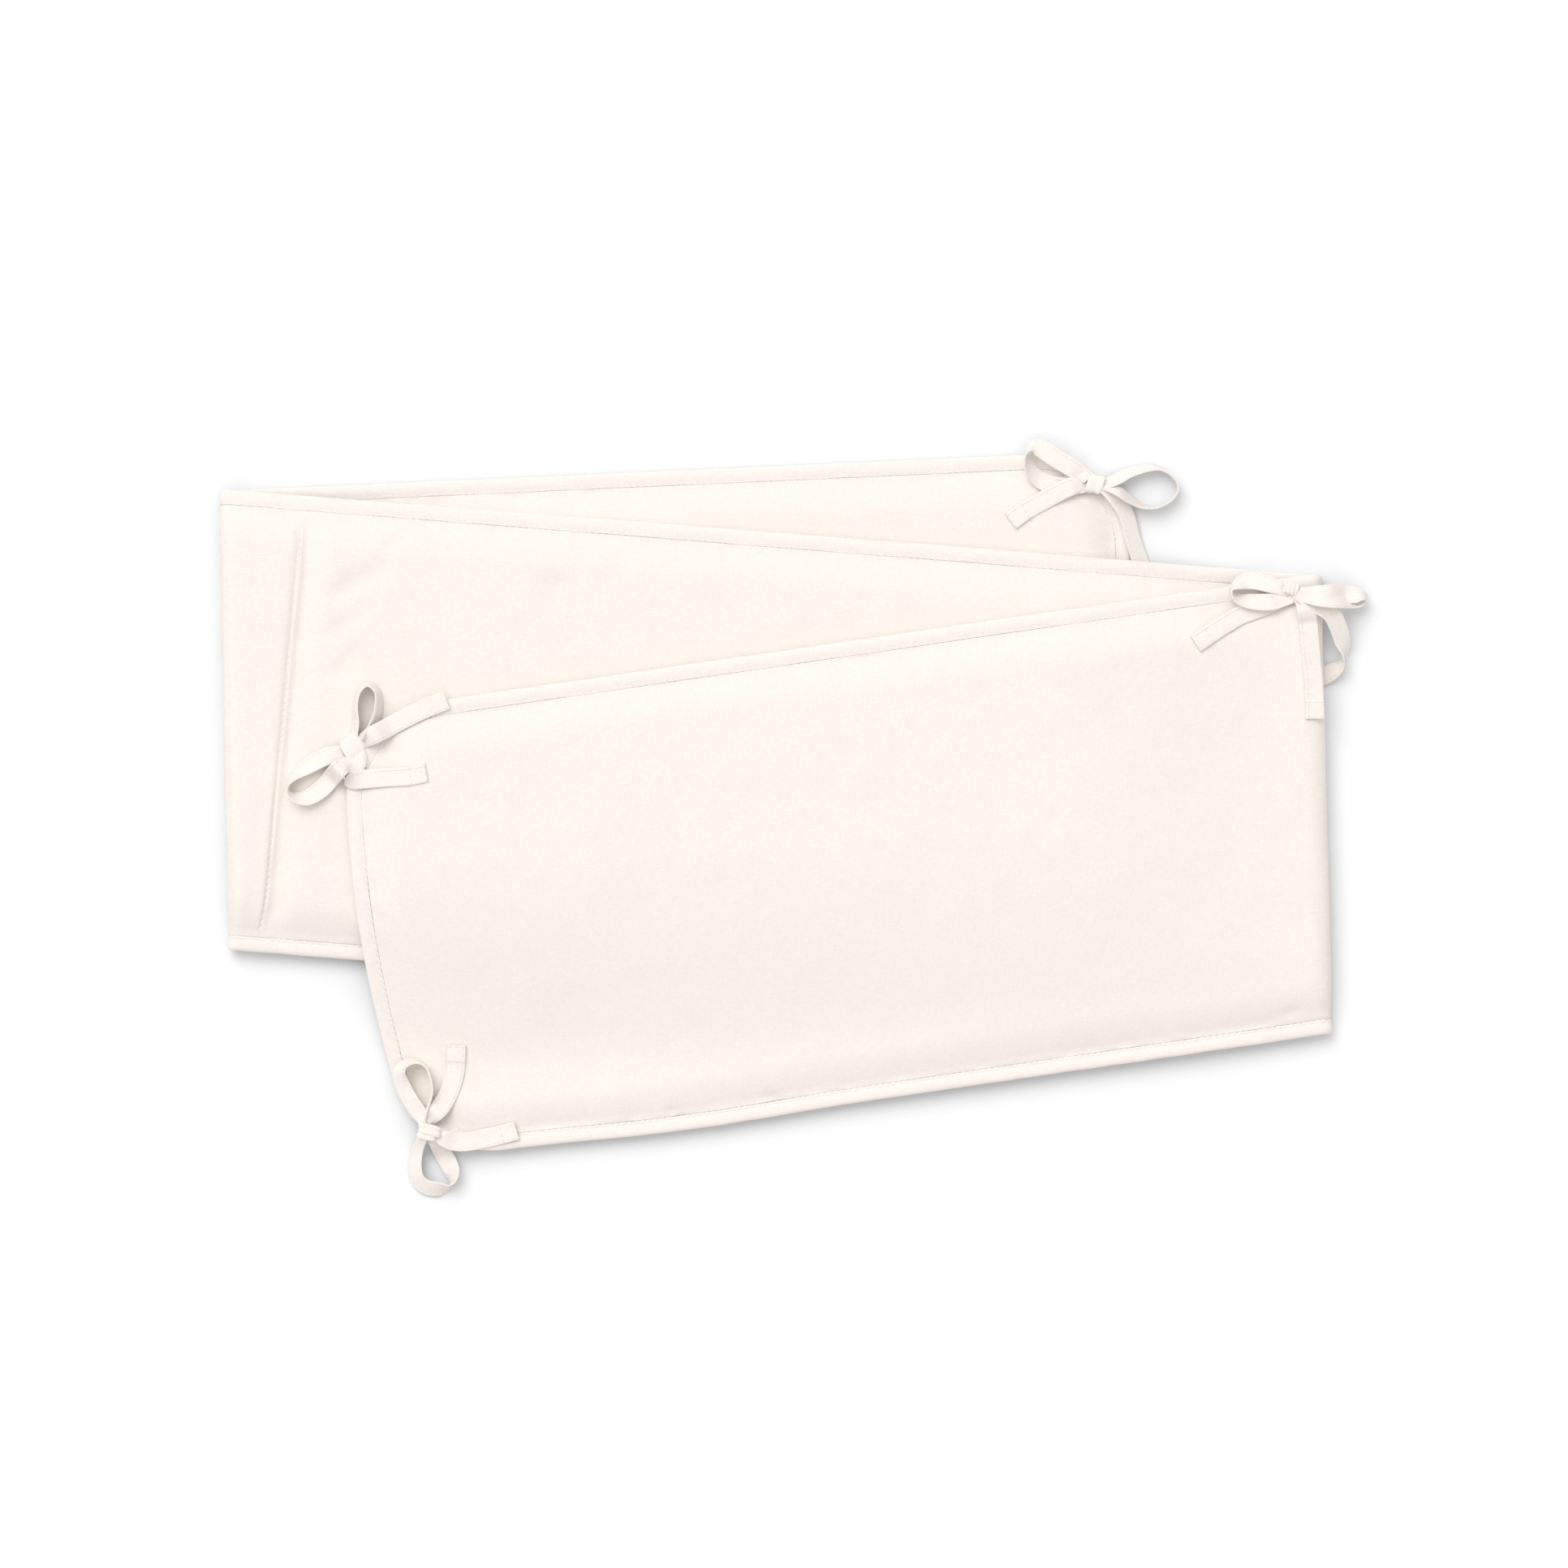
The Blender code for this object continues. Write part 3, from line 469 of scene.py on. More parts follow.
def strip_normal(s, t):
    """The middle surface's normal, up on the bottom layer."""
    step = 0.5
    s_a, s_b = np.maximum(s - step, 0.0), np.minimum(s + step, STRIP_LENGTH)
    t_a, t_b = np.maximum(t - step, 0.0), np.minimum(t + step, STRIP_WIDTH)
    along = middle_surface(s_b, t) - middle_surface(s_a, t)
    across = middle_surface(s, t_b) - middle_surface(s, t_a)
    return unit(np.cross(along, across))


def half_thickness(s, d):
    """Half the pad's thickness: a thin tongue in the binding, a crown, and drawn-in seams."""
    rise = edge_rise(d)
    for name, place in SEAM_PLACES.items():
        open_side = s - place if name == "left_seam" else place - s
        trough = smooth(open_side / SEAM_TROUGH_PLACE)
        lost = mix(SEAM_RIDGE, SEAM_TROUGH, trough)
        lost = lost * np.where(
            open_side > SEAM_TROUGH_PLACE,
            1.0 - smooth((open_side - SEAM_TROUGH_PLACE) / (SEAM_REACH - SEAM_TROUGH_PLACE)),
            1.0 - smooth(-open_side / SEAM_REACH_AT_FOLD),
        )
        rise = rise * (1.0 - lost)
    roll = EDGE_ROLL * smooth((d - BINDING_WIDTH + 0.05) / 0.15) * (1.0 - rise)
    groove = sum(np.exp(-(((s - place) / SEAM_GROOVE_HALF) ** 2)) for place in SEAM_PLACES.values())
    return mix(TONGUE_THICKNESS / 2, PAD_THICKNESS / 2, rise) + roll - SEAM_GROOVE * groove * rise


def spring(s, t, points):
    """The lift of the top layer's lower edge, where it reaches out past the layers under it."""
    share = smooth((t - (STRIP_WIDTH - EDGE_SPRING_REACH)) / EDGE_SPRING_REACH)
    free = np.clip(1.0 - underside(3, points[:, :2]) / LAYER_PITCH, 0.0, 1.0)
    return EDGE_SPRING * share * free * smooth((s - TOP_START) / EDGE_SPRING_REACH)


def laid(s, t, d, offset):
    """Points at a height off the middle surface, let down so that the underside rests flat."""
    points = middle_surface(s, t) + strip_normal(s, t) * np.broadcast_to(offset, s.shape)[:, None]
    points[:, 2] -= PAD_THICKNESS / 2 - np.maximum(BINDING_HALF, half_thickness(s, d))
    points[:, 2] += spring(s, t, points)
    return points


def to_edge(s, t):
    """For each point: distance in from the edge, the nearest edge point, and the way out to it."""
    core_s = np.clip(s, CORNER_RADIUS, STRIP_LENGTH - CORNER_RADIUS)
    core_t = np.clip(t, CORNER_RADIUS, STRIP_WIDTH - CORNER_RADIUS)
    away = np.stack((s - core_s, t - core_t), axis=1)
    length = np.linalg.norm(away, axis=1)
    out = away / np.maximum(length, 1e-6)[:, None]
    edge = np.stack((core_s, core_t), axis=1) + out * CORNER_RADIUS
    return CORNER_RADIUS - length, edge, out


# ---- meshes


def new_piece(name, points, faces, uv, finish, slot):
    """A smooth mesh facing outwards, of points in millimetres and their places on the flat cloth."""
    mesh = bpy.data.meshes.new(name)
    mesh.from_pydata((points * MM).tolist(), [], faces)
    if uv is not None:
        corners = np.empty(len(mesh.loops), int)
        mesh.loops.foreach_get("vertex_index", corners)
        layer = mesh.uv_layers.new(name="cloth")
        layer.uv.foreach_set("vector", (uv[corners] * MM).astype(np.float32).ravel())
    if sum(p.center.dot(p.normal) * p.area for p in mesh.polygons) < 0:
        mesh.flip_normals()
    mesh.materials.append(finish)
    mesh.shade_smooth()
    piece = bpy.data.objects.new(name, mesh)
    bpy.context.scene.collection.objects.link(piece)
    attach(piece, "root")
    return piece


def grid_faces(rows, columns, round_rows=False, round_columns=False):
    """Quads between the points of a grid, kept row after row. Either way can close on itself."""
    row = np.arange(rows if round_rows else rows - 1)
    column = np.arange(columns if round_columns else columns - 1)
    row, column = (a.ravel() for a in np.meshgrid(row, column, indexing="ij"))
    here, ahead, beside = row * columns, (row + 1) % rows * columns, (column + 1) % columns
    return np.stack((here + column, ahead + column, ahead + beside, here + beside), axis=1)


def tube(lines, along, across, closed):
    """The points, faces and flat places of a tube through lines of points along it.

    The flat places are given along and across the cloth. A tube that isn't closed gets end caps.
    """
    rows, columns = len(along), len(lines)
    faces = grid_faces(rows, columns, closed, True).tolist()
    if not closed:
        start = list(range(columns))
        end = list(range((rows - 1) * columns, rows * columns))
        faces += [start[-1:] + start[:-1], end[:1] + end[:0:-1]]
    uv = np.stack((np.repeat(along, columns), np.tile(across, rows)), axis=1)
    return np.stack(lines, axis=1).reshape(-1, 3), faces, uv


# ---- the pad


def pad_lines(length, longest):
    """Grid lines from edge to edge, close together beside the binding and coarser further in."""
    rim, step = [TONGUE_INSET, 6.0, 9.9, 10.1, 10.6], 0.9
    while rim[-1] + step < CORNER_RADIUS - 2.0:
        rim.append(rim[-1] + step)
        step = min(step * 1.12, 4.4)
    start, end = CORNER_RADIUS, length - CORNER_RADIUS
    inside = list(np.linspace(start, end, math.ceil((end - start) / longest) + 1))
    return np.array(rim + inside + [length - p for p in reversed(rim)])


def cloth_relief(s, t, side):
    """How far one face's cloth stands proud of the smooth padding, or lies in below it."""
    d, edge, out = to_edge(s, t)
    seed = 100 if side > 0 else 200
    lean, length = PUCKER_SLANT
    slant = lean * unevenness(edge[:, 0] / length, edge[:, 1] / length, seed)
    aside = np.stack((-out[:, 1], out[:, 0]), axis=1)
    streak = edge + aside * (slant * d)[:, None]
    inside = d - EDGE_RISE_START
    relief = np.zeros_like(s)
    for k, (pitch, reach, depth) in enumerate(EDGE_PUCKERS):
        height = unevenness(streak[:, 0] / pitch, streak[:, 1] / pitch, seed + 1 + k)
        spells = unevenness(edge[:, 0] / PUCKER_SPELL, edge[:, 1] / PUCKER_SPELL, seed + 11 + k)
        spell = smooth(0.6 + spells)
        fade = np.exp(-np.maximum(inside, 0.0) / reach) * smooth((d - 9.8) / 2.5)
        relief += depth * spell * fade * (0.35 - (1.0 - np.abs(height)) ** 3)
    for name, place in SEAM_PLACES.items():
        open_side = s - place if name == "left_seam" else place - s
        for k, (pitch, reach, depth) in enumerate(SEAM_PUCKERS):
            lean = t + 0.5 * open_side
            height = unevenness(lean / pitch, open_side / (pitch * 4.0), seed + 21 + k)
            fade = np.exp(-np.maximum(open_side, 0.0) / reach)
            fade = fade * smooth(open_side / 2.0) * smooth(inside / 12.0)
            relief += depth * fade * (0.3 - (1.0 - np.abs(height)) ** 3)
    filled = smooth(inside / SWELLS_FULL)
    for k, (pitch, depth) in enumerate(SWELLS):
        relief += depth * filled * unevenness(s / pitch, t / pitch, seed + 31 + k)
    return relief


def crease_relief(points, s, side):
    """The listed creases, on the faces that look up: soft troughs that fade at their ends."""
    layer_of_face = 2 if side < 0 else 3
    on_layer = (s > MIDDLE_START) & (s < MIDDLE_END) if side < 0 else s > TOP_START
    relief = np.zeros_like(s)
    for layer, x_a, y_a, x_b, y_b, half_width, depth in CREASES:
        if layer != layer_of_face:
            continue
        along = np.array((x_b - x_a, y_b - y_a))
        length = np.hypot(*along)
        along /= length
        away = points[:, :2] - (x_a, y_a)
        share = (away @ along) / length
        aside = away @ np.array((-along[1], along[0]))
        ends = smooth(share / 0.3) * smooth((1.0 - share) / 0.3)
        relief -= depth * (np.exp(-((aside / half_width) ** 2)) * ends) * on_layer
    return relief


def off_floor(points):
    """Cloth that lies on the floor flattens against it."""
    points[:, 2] = np.maximum(points[:, 2], 0.0)
    return points


def make_pad():
    """Two faces of cloth over the wadding, puckered at the binding and at the cross seams."""
    lines_s, lines_t = map(pad_lines, (STRIP_LENGTH, STRIP_WIDTH), PAD_STEPS)
    for name, place in SEAM_PLACES.items():
        open_way = 1.0 if name == "left_seam" else -1.0
        fine = np.sort(place + open_way * np.array(SEAM_LINES))
        clear = (lines_s < fine[0] - 0.8) | (lines_s > fine[-1] + 0.8)
        lines_s = np.sort(np.concatenate((lines_s[clear], fine)))
    s, t = (a.ravel() for a in np.meshgrid(lines_s, lines_t, indexing="ij"))
    radius = CORNER_RADIUS - TONGUE_INSET
    core_s = np.clip(s, CORNER_RADIUS, STRIP_LENGTH - CORNER_RADIUS)
    core_t = np.clip(t, CORNER_RADIUS, STRIP_WIDTH - CORNER_RADIUS)
    u, v = (s - core_s) / radius, (t - core_t) / radius
    s = core_s + radius * u * np.sqrt(1.0 - v * v / 2.0)
    t = core_t + radius * v * np.sqrt(1.0 - u * u / 2.0)
    d = to_edge(s, t)[0]

    rows, columns = len(lines_s), len(lines_t)
    number = np.arange(rows * columns).reshape(rows, columns)
    rim = np.concatenate((number[:, 0], number[-1, 1:], number[-2::-1, -1], number[0, -2:0:-1]))
    half, normal = half_thickness(s, d), strip_normal(s, t)
    points, uv = [], []
    for side in (1.0, -1.0):
        smooth_face = laid(s, t, d, side * half)
        seen = mix(HIDDEN_RELIEF, 1.0, smooth(0.6 + side * normal[:, 2]))
        relief = cloth_relief(s, t, side) * seen + crease_relief(smooth_face, s, side)
        points.append(off_floor(smooth_face + normal * (side * relief)[:, None]))
        uv.append(np.stack((s, t + (0.0 if side > 0 else 2.0 * STRIP_WIDTH)), axis=1))
    face, ahead, below = grid_faces(rows, columns), np.roll(rim, -1), rows * columns
    wall = np.stack((rim + below, ahead + below, ahead, rim), axis=1)
    faces = np.concatenate((face[:, ::-1], face + below, wall)).tolist()
    points, uv = np.concatenate(points), np.concatenate(uv)
    pad = new_piece("padded_panels", points, faces, uv, COTTON_CLOTH, "cotton")
    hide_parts("pad")
    return pad


# ---- the binding

# Half the binding's section, from its inner edge round to the fold: d, height over the middle.
BINDING_SECTION = (
    (10.0, 1.25), (9.95, 1.5), (9.7, 1.66), (9.1, 1.66), (8.5, 1.5), (7.9, 1.7), (6.6, 2.02),
    (4.6, 2.28), (2.7, 2.26), (1.4, 1.95), (0.5, 1.3), (0.05, 0.6),
)
BINDING_INSIDE = ((1.3, 1.15), (9.9, 1.15))
SCALLOP = 0.3  # how far each stitch draws the binding's inner edge in
STITCH_GROOVE = 1.5  # height of the binding's face where its stitches run
WANDER = 0.22  # how far the binding's edges wander in and out
RIPPLE = 0.16  # height of its short slanted ripples, and of the broad ones
SECTION_SPACING = 1.3  # mean distance between the section's points, on the flat cloth


def rim_stations(step):
    """Places round the strip's edge, an even number of them: the edge point and the way out."""
    straight_s, straight_t = STRIP_LENGTH - 2 * CORNER_RADIUS, STRIP_WIDTH - 2 * CORNER_RADIUS
    arc = math.pi / 2 * CORNER_RADIUS
    total = 2 * (straight_s + straight_t) + 4 * arc
    count = 2 * round(total / step / 2)
    near, low = CORNER_RADIUS, CORNER_RADIUS
    far, high = STRIP_LENGTH - CORNER_RADIUS, STRIP_WIDTH - CORNER_RADIUS
    runs = (
        (straight_s, (near, low), (1, 0), -90.0), (arc, (far, low), None, -90.0),
        (straight_t, (far, low), (0, 1), 0.0), (arc, (far, high), None, 0.0),
        (straight_s, (far, high), (-1, 0), 90.0), (arc, (near, high), None, 90.0),
        (straight_t, (near, high), (0, -1), 180.0), (arc, (near, low), None, 180.0),
    )
    along = np.arange(count) * total / count
    edge, out = np.empty((count, 2)), np.empty((count, 2))
    start = 0.0
    for length, centre, direction, angle in runs:
        rows = (along >= start) & (along < start + length)
        share = (along[rows] - start) / length
        turn = np.radians(angle + (0.0 if direction else 90.0) * share)
        outward = np.stack((np.cos(turn), np.sin(turn)), axis=1)
        middle = np.array(centre, float) + np.outer(share * length, direction or (0, 0))
        edge[rows], out[rows] = middle + outward * CORNER_RADIUS, outward
        start += length
    return along, edge, out


def on_rim(edge, out, d, height):
    """Points of the bound edge, at a distance in and a height off the middle."""
    d = np.broadcast_to(d, (len(edge),))
    place = edge - out * d[:, None]
    return laid(place[:, 0], place[:, 1], d, height)


def make_binding():
    """The bias strip over the edge: a soft fold, a stitched groove and a scalloped inner edge."""
    along, edge, out = rim_stations(STITCH_PITCH / 2)
    pulled = (np.arange(len(along)) % 2 == 0) * SCALLOP
    wander = WANDER * unevenness(along / 16.0, 0.0 * along, 301)
    section = [(d, h, 1) for d, h in BINDING_SECTION] + [(0.0, 0.0, 1)]
    section += [(d, -h, 1) for d, h in reversed(BINDING_SECTION)]
    section += [(d, -h, 0) for d, h in reversed(BINDING_INSIDE)]
    section += [(d, h, 0) for d, h in BINDING_INSIDE]
    count, lines = len(along), []
    for d, h, outside in section:
        d_here, h_here = np.full(count, d), np.full(count, h)
        if outside:
            ripple = unevenness((along + 0.9 * d) / 5.5, along * 0.0 + d / 6.0 + 5 * (h < 0), 302)
            broad = unevenness((along - 0.6 * d) / 19.0, along * 0.0 + 5 * (h < 0), 303)
            middle = math.exp(-(((d - 5.0) / 3.2) ** 2))
            h_here = h_here + np.sign(h) * middle * (RIPPLE * ripple + RIPPLE * broad)
            if d > 9.0:
                d_here = d_here - pulled * (d - 8.5) / 1.5 + wander
            if d < 3.0:
                d_here = d_here + 0.8 * wander * (1.0 - d / 3.0)
        lines.append(off_floor(on_rim(edge, out, d_here, h_here)))
    across = STRIP_WIDTH * 4 + SECTION_SPACING * np.arange(len(section))
    surface = tube(lines, along, across, True)
    binding = new_piece("bound_edge", *surface, BINDING_CLOTH, "cotton")
    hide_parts("binding")
    return binding


# ---- stitches


def stitch_shape():
    """One sewn stitch, arched a little, its ends drawn into the cloth. It lies along X."""
    bpy.ops.mesh.primitive_uv_sphere_add(
        segments=6, ring_count=5, radius=0.5, location=(0, 0, 0), rotation=(0, math.pi / 2, 0)
    )
    shape = bpy.context.active_object
    bpy.ops.object.transform_apply(location=False, rotation=True, scale=False)
    bpy.ops.object.mode_set(mode="EDIT")
    bpy.ops.mesh.select_all(action="SELECT")
    bpy.ops.transform.resize(value=(STITCH_LENGTH, STITCH_THICK, STITCH_THICK * 0.9))
    bpy.ops.mesh.select_all(action="DESELECT")
    bpy.ops.object.mode_set(mode="OBJECT")
    for vert in shape.data.vertices:
        vert.select = abs(vert.co.x) > STITCH_LENGTH * 0.45
    bpy.ops.object.mode_set(mode="EDIT")
    bpy.ops.mesh.select_mode(type="VERT")
    bpy.ops.transform.translate(value=(0, 0, -STITCH_THICK * 0.5))
    bpy.ops.object.mode_set(mode="OBJECT")
    points = np.array([v.co[:] for v in shape.data.vertices])
    faces = sorted(tuple(p.vertices) for p in shape.data.polygons)
    bpy.data.objects.remove(shape)
    return points, faces


def sew(name, places, slot):
    """Copies the stitch to every place: its middle, the way it runs, and the way out of the cloth."""
    shape, shape_faces = STITCH
    middle, along, out = (np.concatenate(part) for part in zip(*places))
    along, out = unit(along), unit(out)
    aside = unit(np.cross(out, along))
    points = middle[:, None, :]
    for k, axis in enumerate((along, aside, np.cross(along, aside))):
        points = points + shape[None, :, k, None] * axis[:, None, :]
    faces = []
    for first in range(0, len(middle) * len(shape), len(shape)):
        faces += [[first + corner for corner in face] for face in shape_faces]
    new_piece(name, off_floor(points.reshape(-1, 3)), faces, None, THREAD_FINISH, slot)


def binding_stitches():
    """The straight stitch line round the binding, on both faces."""
    _, edge, out = rim_stations(STITCH_PITCH / 2)
    edge, out = edge[1::2], out[1::2]
    places = []
    for side in (1.0, -1.0):
        height = side * (STITCH_GROOVE + STITCH_LIFT)
        here = on_rim(edge, out, STITCH_INSET, height)
        under = on_rim(edge, out, STITCH_INSET, side * 1.0)
        inner = on_rim(edge, out, STITCH_INSET + 1.0, height)
        along = np.roll(here, -1, axis=0) - np.roll(here, 1, axis=0)
        slant = 0.14 * np.linalg.norm(along, axis=1, keepdims=True) * unit(inner - here)
        places.append((here, along + slant, here - under))
    sew("bound_edge_stitches", places, "cotton")


def cross_seam_stitches():
    """The stitch lines that hold the padding at each cross seam, on both faces."""
    places = []
    t = np.arange(12.5, STRIP_WIDTH - 12.0, STITCH_PITCH)
    for place in SEAM_PLACES.values():
        s = np.full_like(t, place)
        d = to_edge(s, t)[0]
        half = half_thickness(s, d)
        for side in (1.0, -1.0):
            here = laid(s, t, d, side * (half + 0.1))
            under = laid(s, t, d, side * (half - 1.0))
            along = laid(s, t + 1.0, d, side * (half + 0.1)) - here
            places.append((here, along, here - under))
    sew("cross_seam_stitches", places, "cotton")


# ---- the ties

# A tape's section, once round: share of the half width, share of the half thickness.
TAPE_SECTION = (
    (-1.0, 0.0), (-0.985, 0.6), (-0.94, 0.95), (-0.85, 1.0), (-0.7, 0.86), (-0.5, 1.0),
    (-0.17, 1.04), (0.17, 1.04), (0.5, 1.0), (0.75, 1.0), (0.94, 0.95), (0.985, 0.6), (1.0, 0.0),
    (0.985, -0.6), (0.94, -0.95), (0.75, -1.0), (0.5, -1.0), (0.17, -1.04), (-0.17, -1.04),
    (-0.5, -1.0), (-0.7, -0.86), (-0.85, -1.0), (-0.94, -0.95), (-0.985, -0.6),
)


class Ground:
    """What a tape lies on: the strip's upward faces, the tapes laid before it, and the floor."""

    def __init__(self, objects):
        vertices, faces = [], []
        for thing in objects:
            base = len(vertices)
            vertices += [v.co / MM for v in thing.data.vertices]
            faces += [tuple(base + k for k in p.vertices) for p in thing.data.polygons]
        self.strip = BVHTree.FromPolygons(vertices, faces)
        self.tapes = []

    @staticmethod
    def top(tree, x, y):
        hit = tree.ray_cast(Vector((x, y, OPEN_ABOVE)), Vector((0.0, 0.0, -1.0)))[0]
        return hit.z if hit else 0.0

    def strip_top(self, x, y):
        return self.top(self.strip, x, y)

    def tape_top(self, x, y):
        return max((self.top(tree, x, y) for tree in self.tapes), default=0.0)


def smooth_route(points, step):
    """Points about a step apart on a smooth curve through rows of numbers."""
    numbers = np.array(points, float)
    ends = np.concatenate((numbers[:1], numbers, numbers[-1:]))
    found = []
    for k in range(len(numbers) - 1):
        p, q, r, w = ends[k : k + 4]
        span = np.hypot(*(r - q)[:2])
        for u in np.arange(max(1, round(span / step))) / max(1, round(span / step)):
            found.append(
                0.5 * (2 * q + (r - p) * u + (2 * p - 5 * q + 4 * r - w) * u**2
                       + (3 * q - p - 3 * r + w) * u**3)
            )
    return np.array(found + [numbers[-1]])


def across_and_out(route):
    """The directions across a tape and out of its face, all along its route."""
    ahead = np.concatenate((route[1:], route[-1:]))
    behind = np.concatenate((route[:1], route[:-1]))
    along = ahead - behind
    along = unit(np.stack((along[:, 0], along[:, 1], 0.0 * along[:, 0]), axis=1))
    left = np.stack((-along[:, 1], along[:, 0], 0.0 * along[:, 0]), axis=1)
    lean = np.radians(route[:, 3])[:, None]
    across = left * np.cos(lean) + np.array((0.0, 0.0, 1.0)) * np.sin(lean)
    return across, unit(np.cross(along, across))


def averaged(values, reach):
    """A running mean over reach places to each side."""
    padded = np.concatenate((np.full(reach, values[0]), values, np.full(reach, values[-1])))
    return np.convolve(padded, np.ones(2 * reach + 1) / (2 * reach + 1), mode="valid")


def highest_near(values, reach):
    return np.array([values[max(k - reach, 0) : k + reach + 1].max() for k in range(len(values))])


def resting_heights(top, route, across, out, width):
    """For each place of a tape, the lowest height of its middle that clears what is under it."""
    lowest = np.zeros(len(route))
    for k, place in enumerate(route):
        for share in (-1.0, -0.6, -0.2, 0.2, 0.6, 1.0):
            for face in (-1.0, 1.0):
                offset = across[k] * share * width[k] + out[k] * face * TAPE_THICKNESS / 2
                under = top(place[0] + offset[0], place[1] + offset[1])
                lowest[k] = max(lowest[k], under + TAPE_CLEARANCE - offset[2])
    return lowest


def tape_parts(points, ground=None, knot=None, hemmed=False, seed=1):
    """One tape: its surface, stitches and length.

    With a ground, the route's third column is a lift over it; without one, a height. The knot
    gathers the tape that it ties, and a hemmed tape ends in its folded, stitched end.
    """
    route = smooth_route(points, TAPE_STEP)
    across, out = across_and_out(route)
    gathered = np.zeros(len(route))
    if knot is not None:
        away = np.hypot(route[:, 0] - knot[0], route[:, 1] - knot[1])
        gathered = 1.0 - smooth((away - KNOT_CORE) / KNOT_REACH)
    width = TAPE_WIDTH / 2 * mix(1.0, ROOT_WIDTH, gathered)
    heights = route[:, 2].copy()
    if ground:
        rests = resting_heights(ground.strip_top, route, across, out, width)
        lifted = np.maximum(heights, 0.0) + np.maximum(averaged(highest_near(rests, 2), 3), rests)
        over = resting_heights(ground.tape_top, route, across, out, width)
        over = over * (away > KNOT_CORE + 5.0)
        heights = np.maximum(lifted, averaged(highest_near(over, 4), 4))
        heights = np.maximum(mix(heights, knot[2], gathered), rests)
        heights = np.maximum(averaged(heights, 2), rests)
    middle = np.stack((route[:, 0], route[:, 1], heights), axis=1)
    steps = np.linalg.norm(np.diff(middle, axis=0), axis=1)
    length = np.concatenate(((0.0,), np.cumsum(steps)))
    thickness = np.full(len(route), TAPE_THICKNESS / 2)
    if hemmed:
        in_hem = length > length[-1] - HEM_LENGTH
        thickness = thickness + in_hem * HEM_THICKNESS / 2
        middle = middle + out * (in_hem * HEM_THICKNESS / 2)[:, None]
    wave = TAPE_WANDER[0] * unevenness(length / TAPE_WANDER[1], 0.0 * length, seed)
    cup = TAPE_CUPPING[0] * unevenness(length / TAPE_CUPPING[1], 0.0 * length + 3.0, seed)
    lines, flat_across = [], []
    for x, h in TAPE_SECTION:
        fold = gathered * ROOT_FOLD * (0.5 - abs(abs(x) * 2.0 - 1.0 + 0.25 * wave))
        lift = h * thickness + cup * (x * x - 0.4) + fold
        lines.append(middle + across * (x * (width + x * wave))[:, None] + out * lift[:, None])
        flat_across.append(x * TAPE_WIDTH / 2 + FLAT_APART * seed + (FACES_APART if h < 0 else 0.0))
    stitches = tape_stitches(middle, across, out, length, width, thickness, gathered, hemmed)
    return tube(lines, length, flat_across, False), stitches, float(length[-1])


def tape_stitches(middle, across, out, length, width, thickness, gathered, hemmed):
    """The stitch line along one edge of a tape, and the one across its hem, on both faces."""
    places = []
    spots = np.arange(TAPE_STITCH_PITCH, length[-1] - 1.5, TAPE_STITCH_PITCH)

    def at(values):
        return np.stack([np.interp(spots, length, values[:, k]) for k in range(3)], axis=1)

    here, side, face = at(middle), unit(at(across)), unit(at(out))
    along = unit(np.gradient(here, axis=0)) if len(spots) > 1 else here
    free = np.interp(spots, length, gathered) < 0.25
    half = np.interp(spots, length, width)[:, None]
    thick = np.interp(spots, length, thickness)[:, None]
    for sign in (1.0, -1.0):
        lift = face * sign * (thick * 0.9 + STITCH_LIFT)
        line = here - side * (half - TAPE_STITCH_INSET) + lift
        places.append((line[free], along[free], face[free] * sign))
    if hemmed:
        shares = np.linspace(-0.72, 0.72, 3)[:, None]
        for inset in (HEM_LENGTH - 1.4, 1.6):
            k = int(np.argmin(np.abs(length - (length[-1] - inset))))
            run, face = np.tile(across[k], (3, 1)), np.tile(out[k], (3, 1))
            for sign in (1.0, -1.0):
                line = middle[k] + across[k] * shares * width[k]
                line = line + out[k] * sign * (thickness[k] + STITCH_LIFT)
                places.append((line, run, face * sign))
    return places


def wrap_parts(knot, x, y, turn, width, reach, height, pleats, seed):
    """The band that a knot makes round the bow: pleated, narrower where it goes under."""
    shares = np.linspace(-1.0, 1.0, WRAP_LINES)
    angle = np.arange(WRAP_STEPS) * 2.0 * math.pi / WRAP_STEPS
    axis = np.array((math.cos(math.radians(turn)), math.sin(math.radians(turn)), 0.0))
    side = np.array((-axis[1], axis[0], 0.0))
    up = np.array((0.0, 0.0, 1.0))
    centre = np.array((knot[0] + x, knot[1] + y, knot[2]))
    across = np.sign(np.cos(angle)) * np.abs(np.cos(angle)) ** 0.62 * reach / 2
    over = np.sign(np.sin(angle)) * np.abs(np.sin(angle)) ** 0.5 * height / 2
    narrow = mix(0.78, 1.0, np.clip(np.sin(angle), 0.0, 1.0) ** 0.6)
    lines = []
    for face in (0.0, -TAPE_THICKNESS):
        for share in shares if face == 0.0 else shares[::-1]:
            crown = 1.0 - 0.05 * share**2 - 0.1 * share**8
            fold = np.abs(np.sin(math.pi * pleats * (share * 0.5 + 0.12 * np.cos(angle)) + seed))
            pleat = PLEAT_DEPTH * (np.minimum(fold, 0.8) - 0.6) * (face == 0.0)
            uneven = 0.2 * unevenness(angle * 1.5, 0.0 * angle + share * 2.0, seed)
            grow = crown + (face + pleat + uneven) / (reach / 2)
            slide = share * width / 2 * narrow + 0.8 * np.cos(angle)
            place = centre + np.outer(slide, axis) + np.outer(across * grow, side)
            lines.append(place + np.outer(over * grow, up))
    length = math.pi * (reach + height) / 2
    flat_across = np.linspace(0.0, 2 * width, len(lines)) + FLAT_APART * seed
    return tube(lines, angle / (2 * math.pi) * length, flat_across, True), [], length


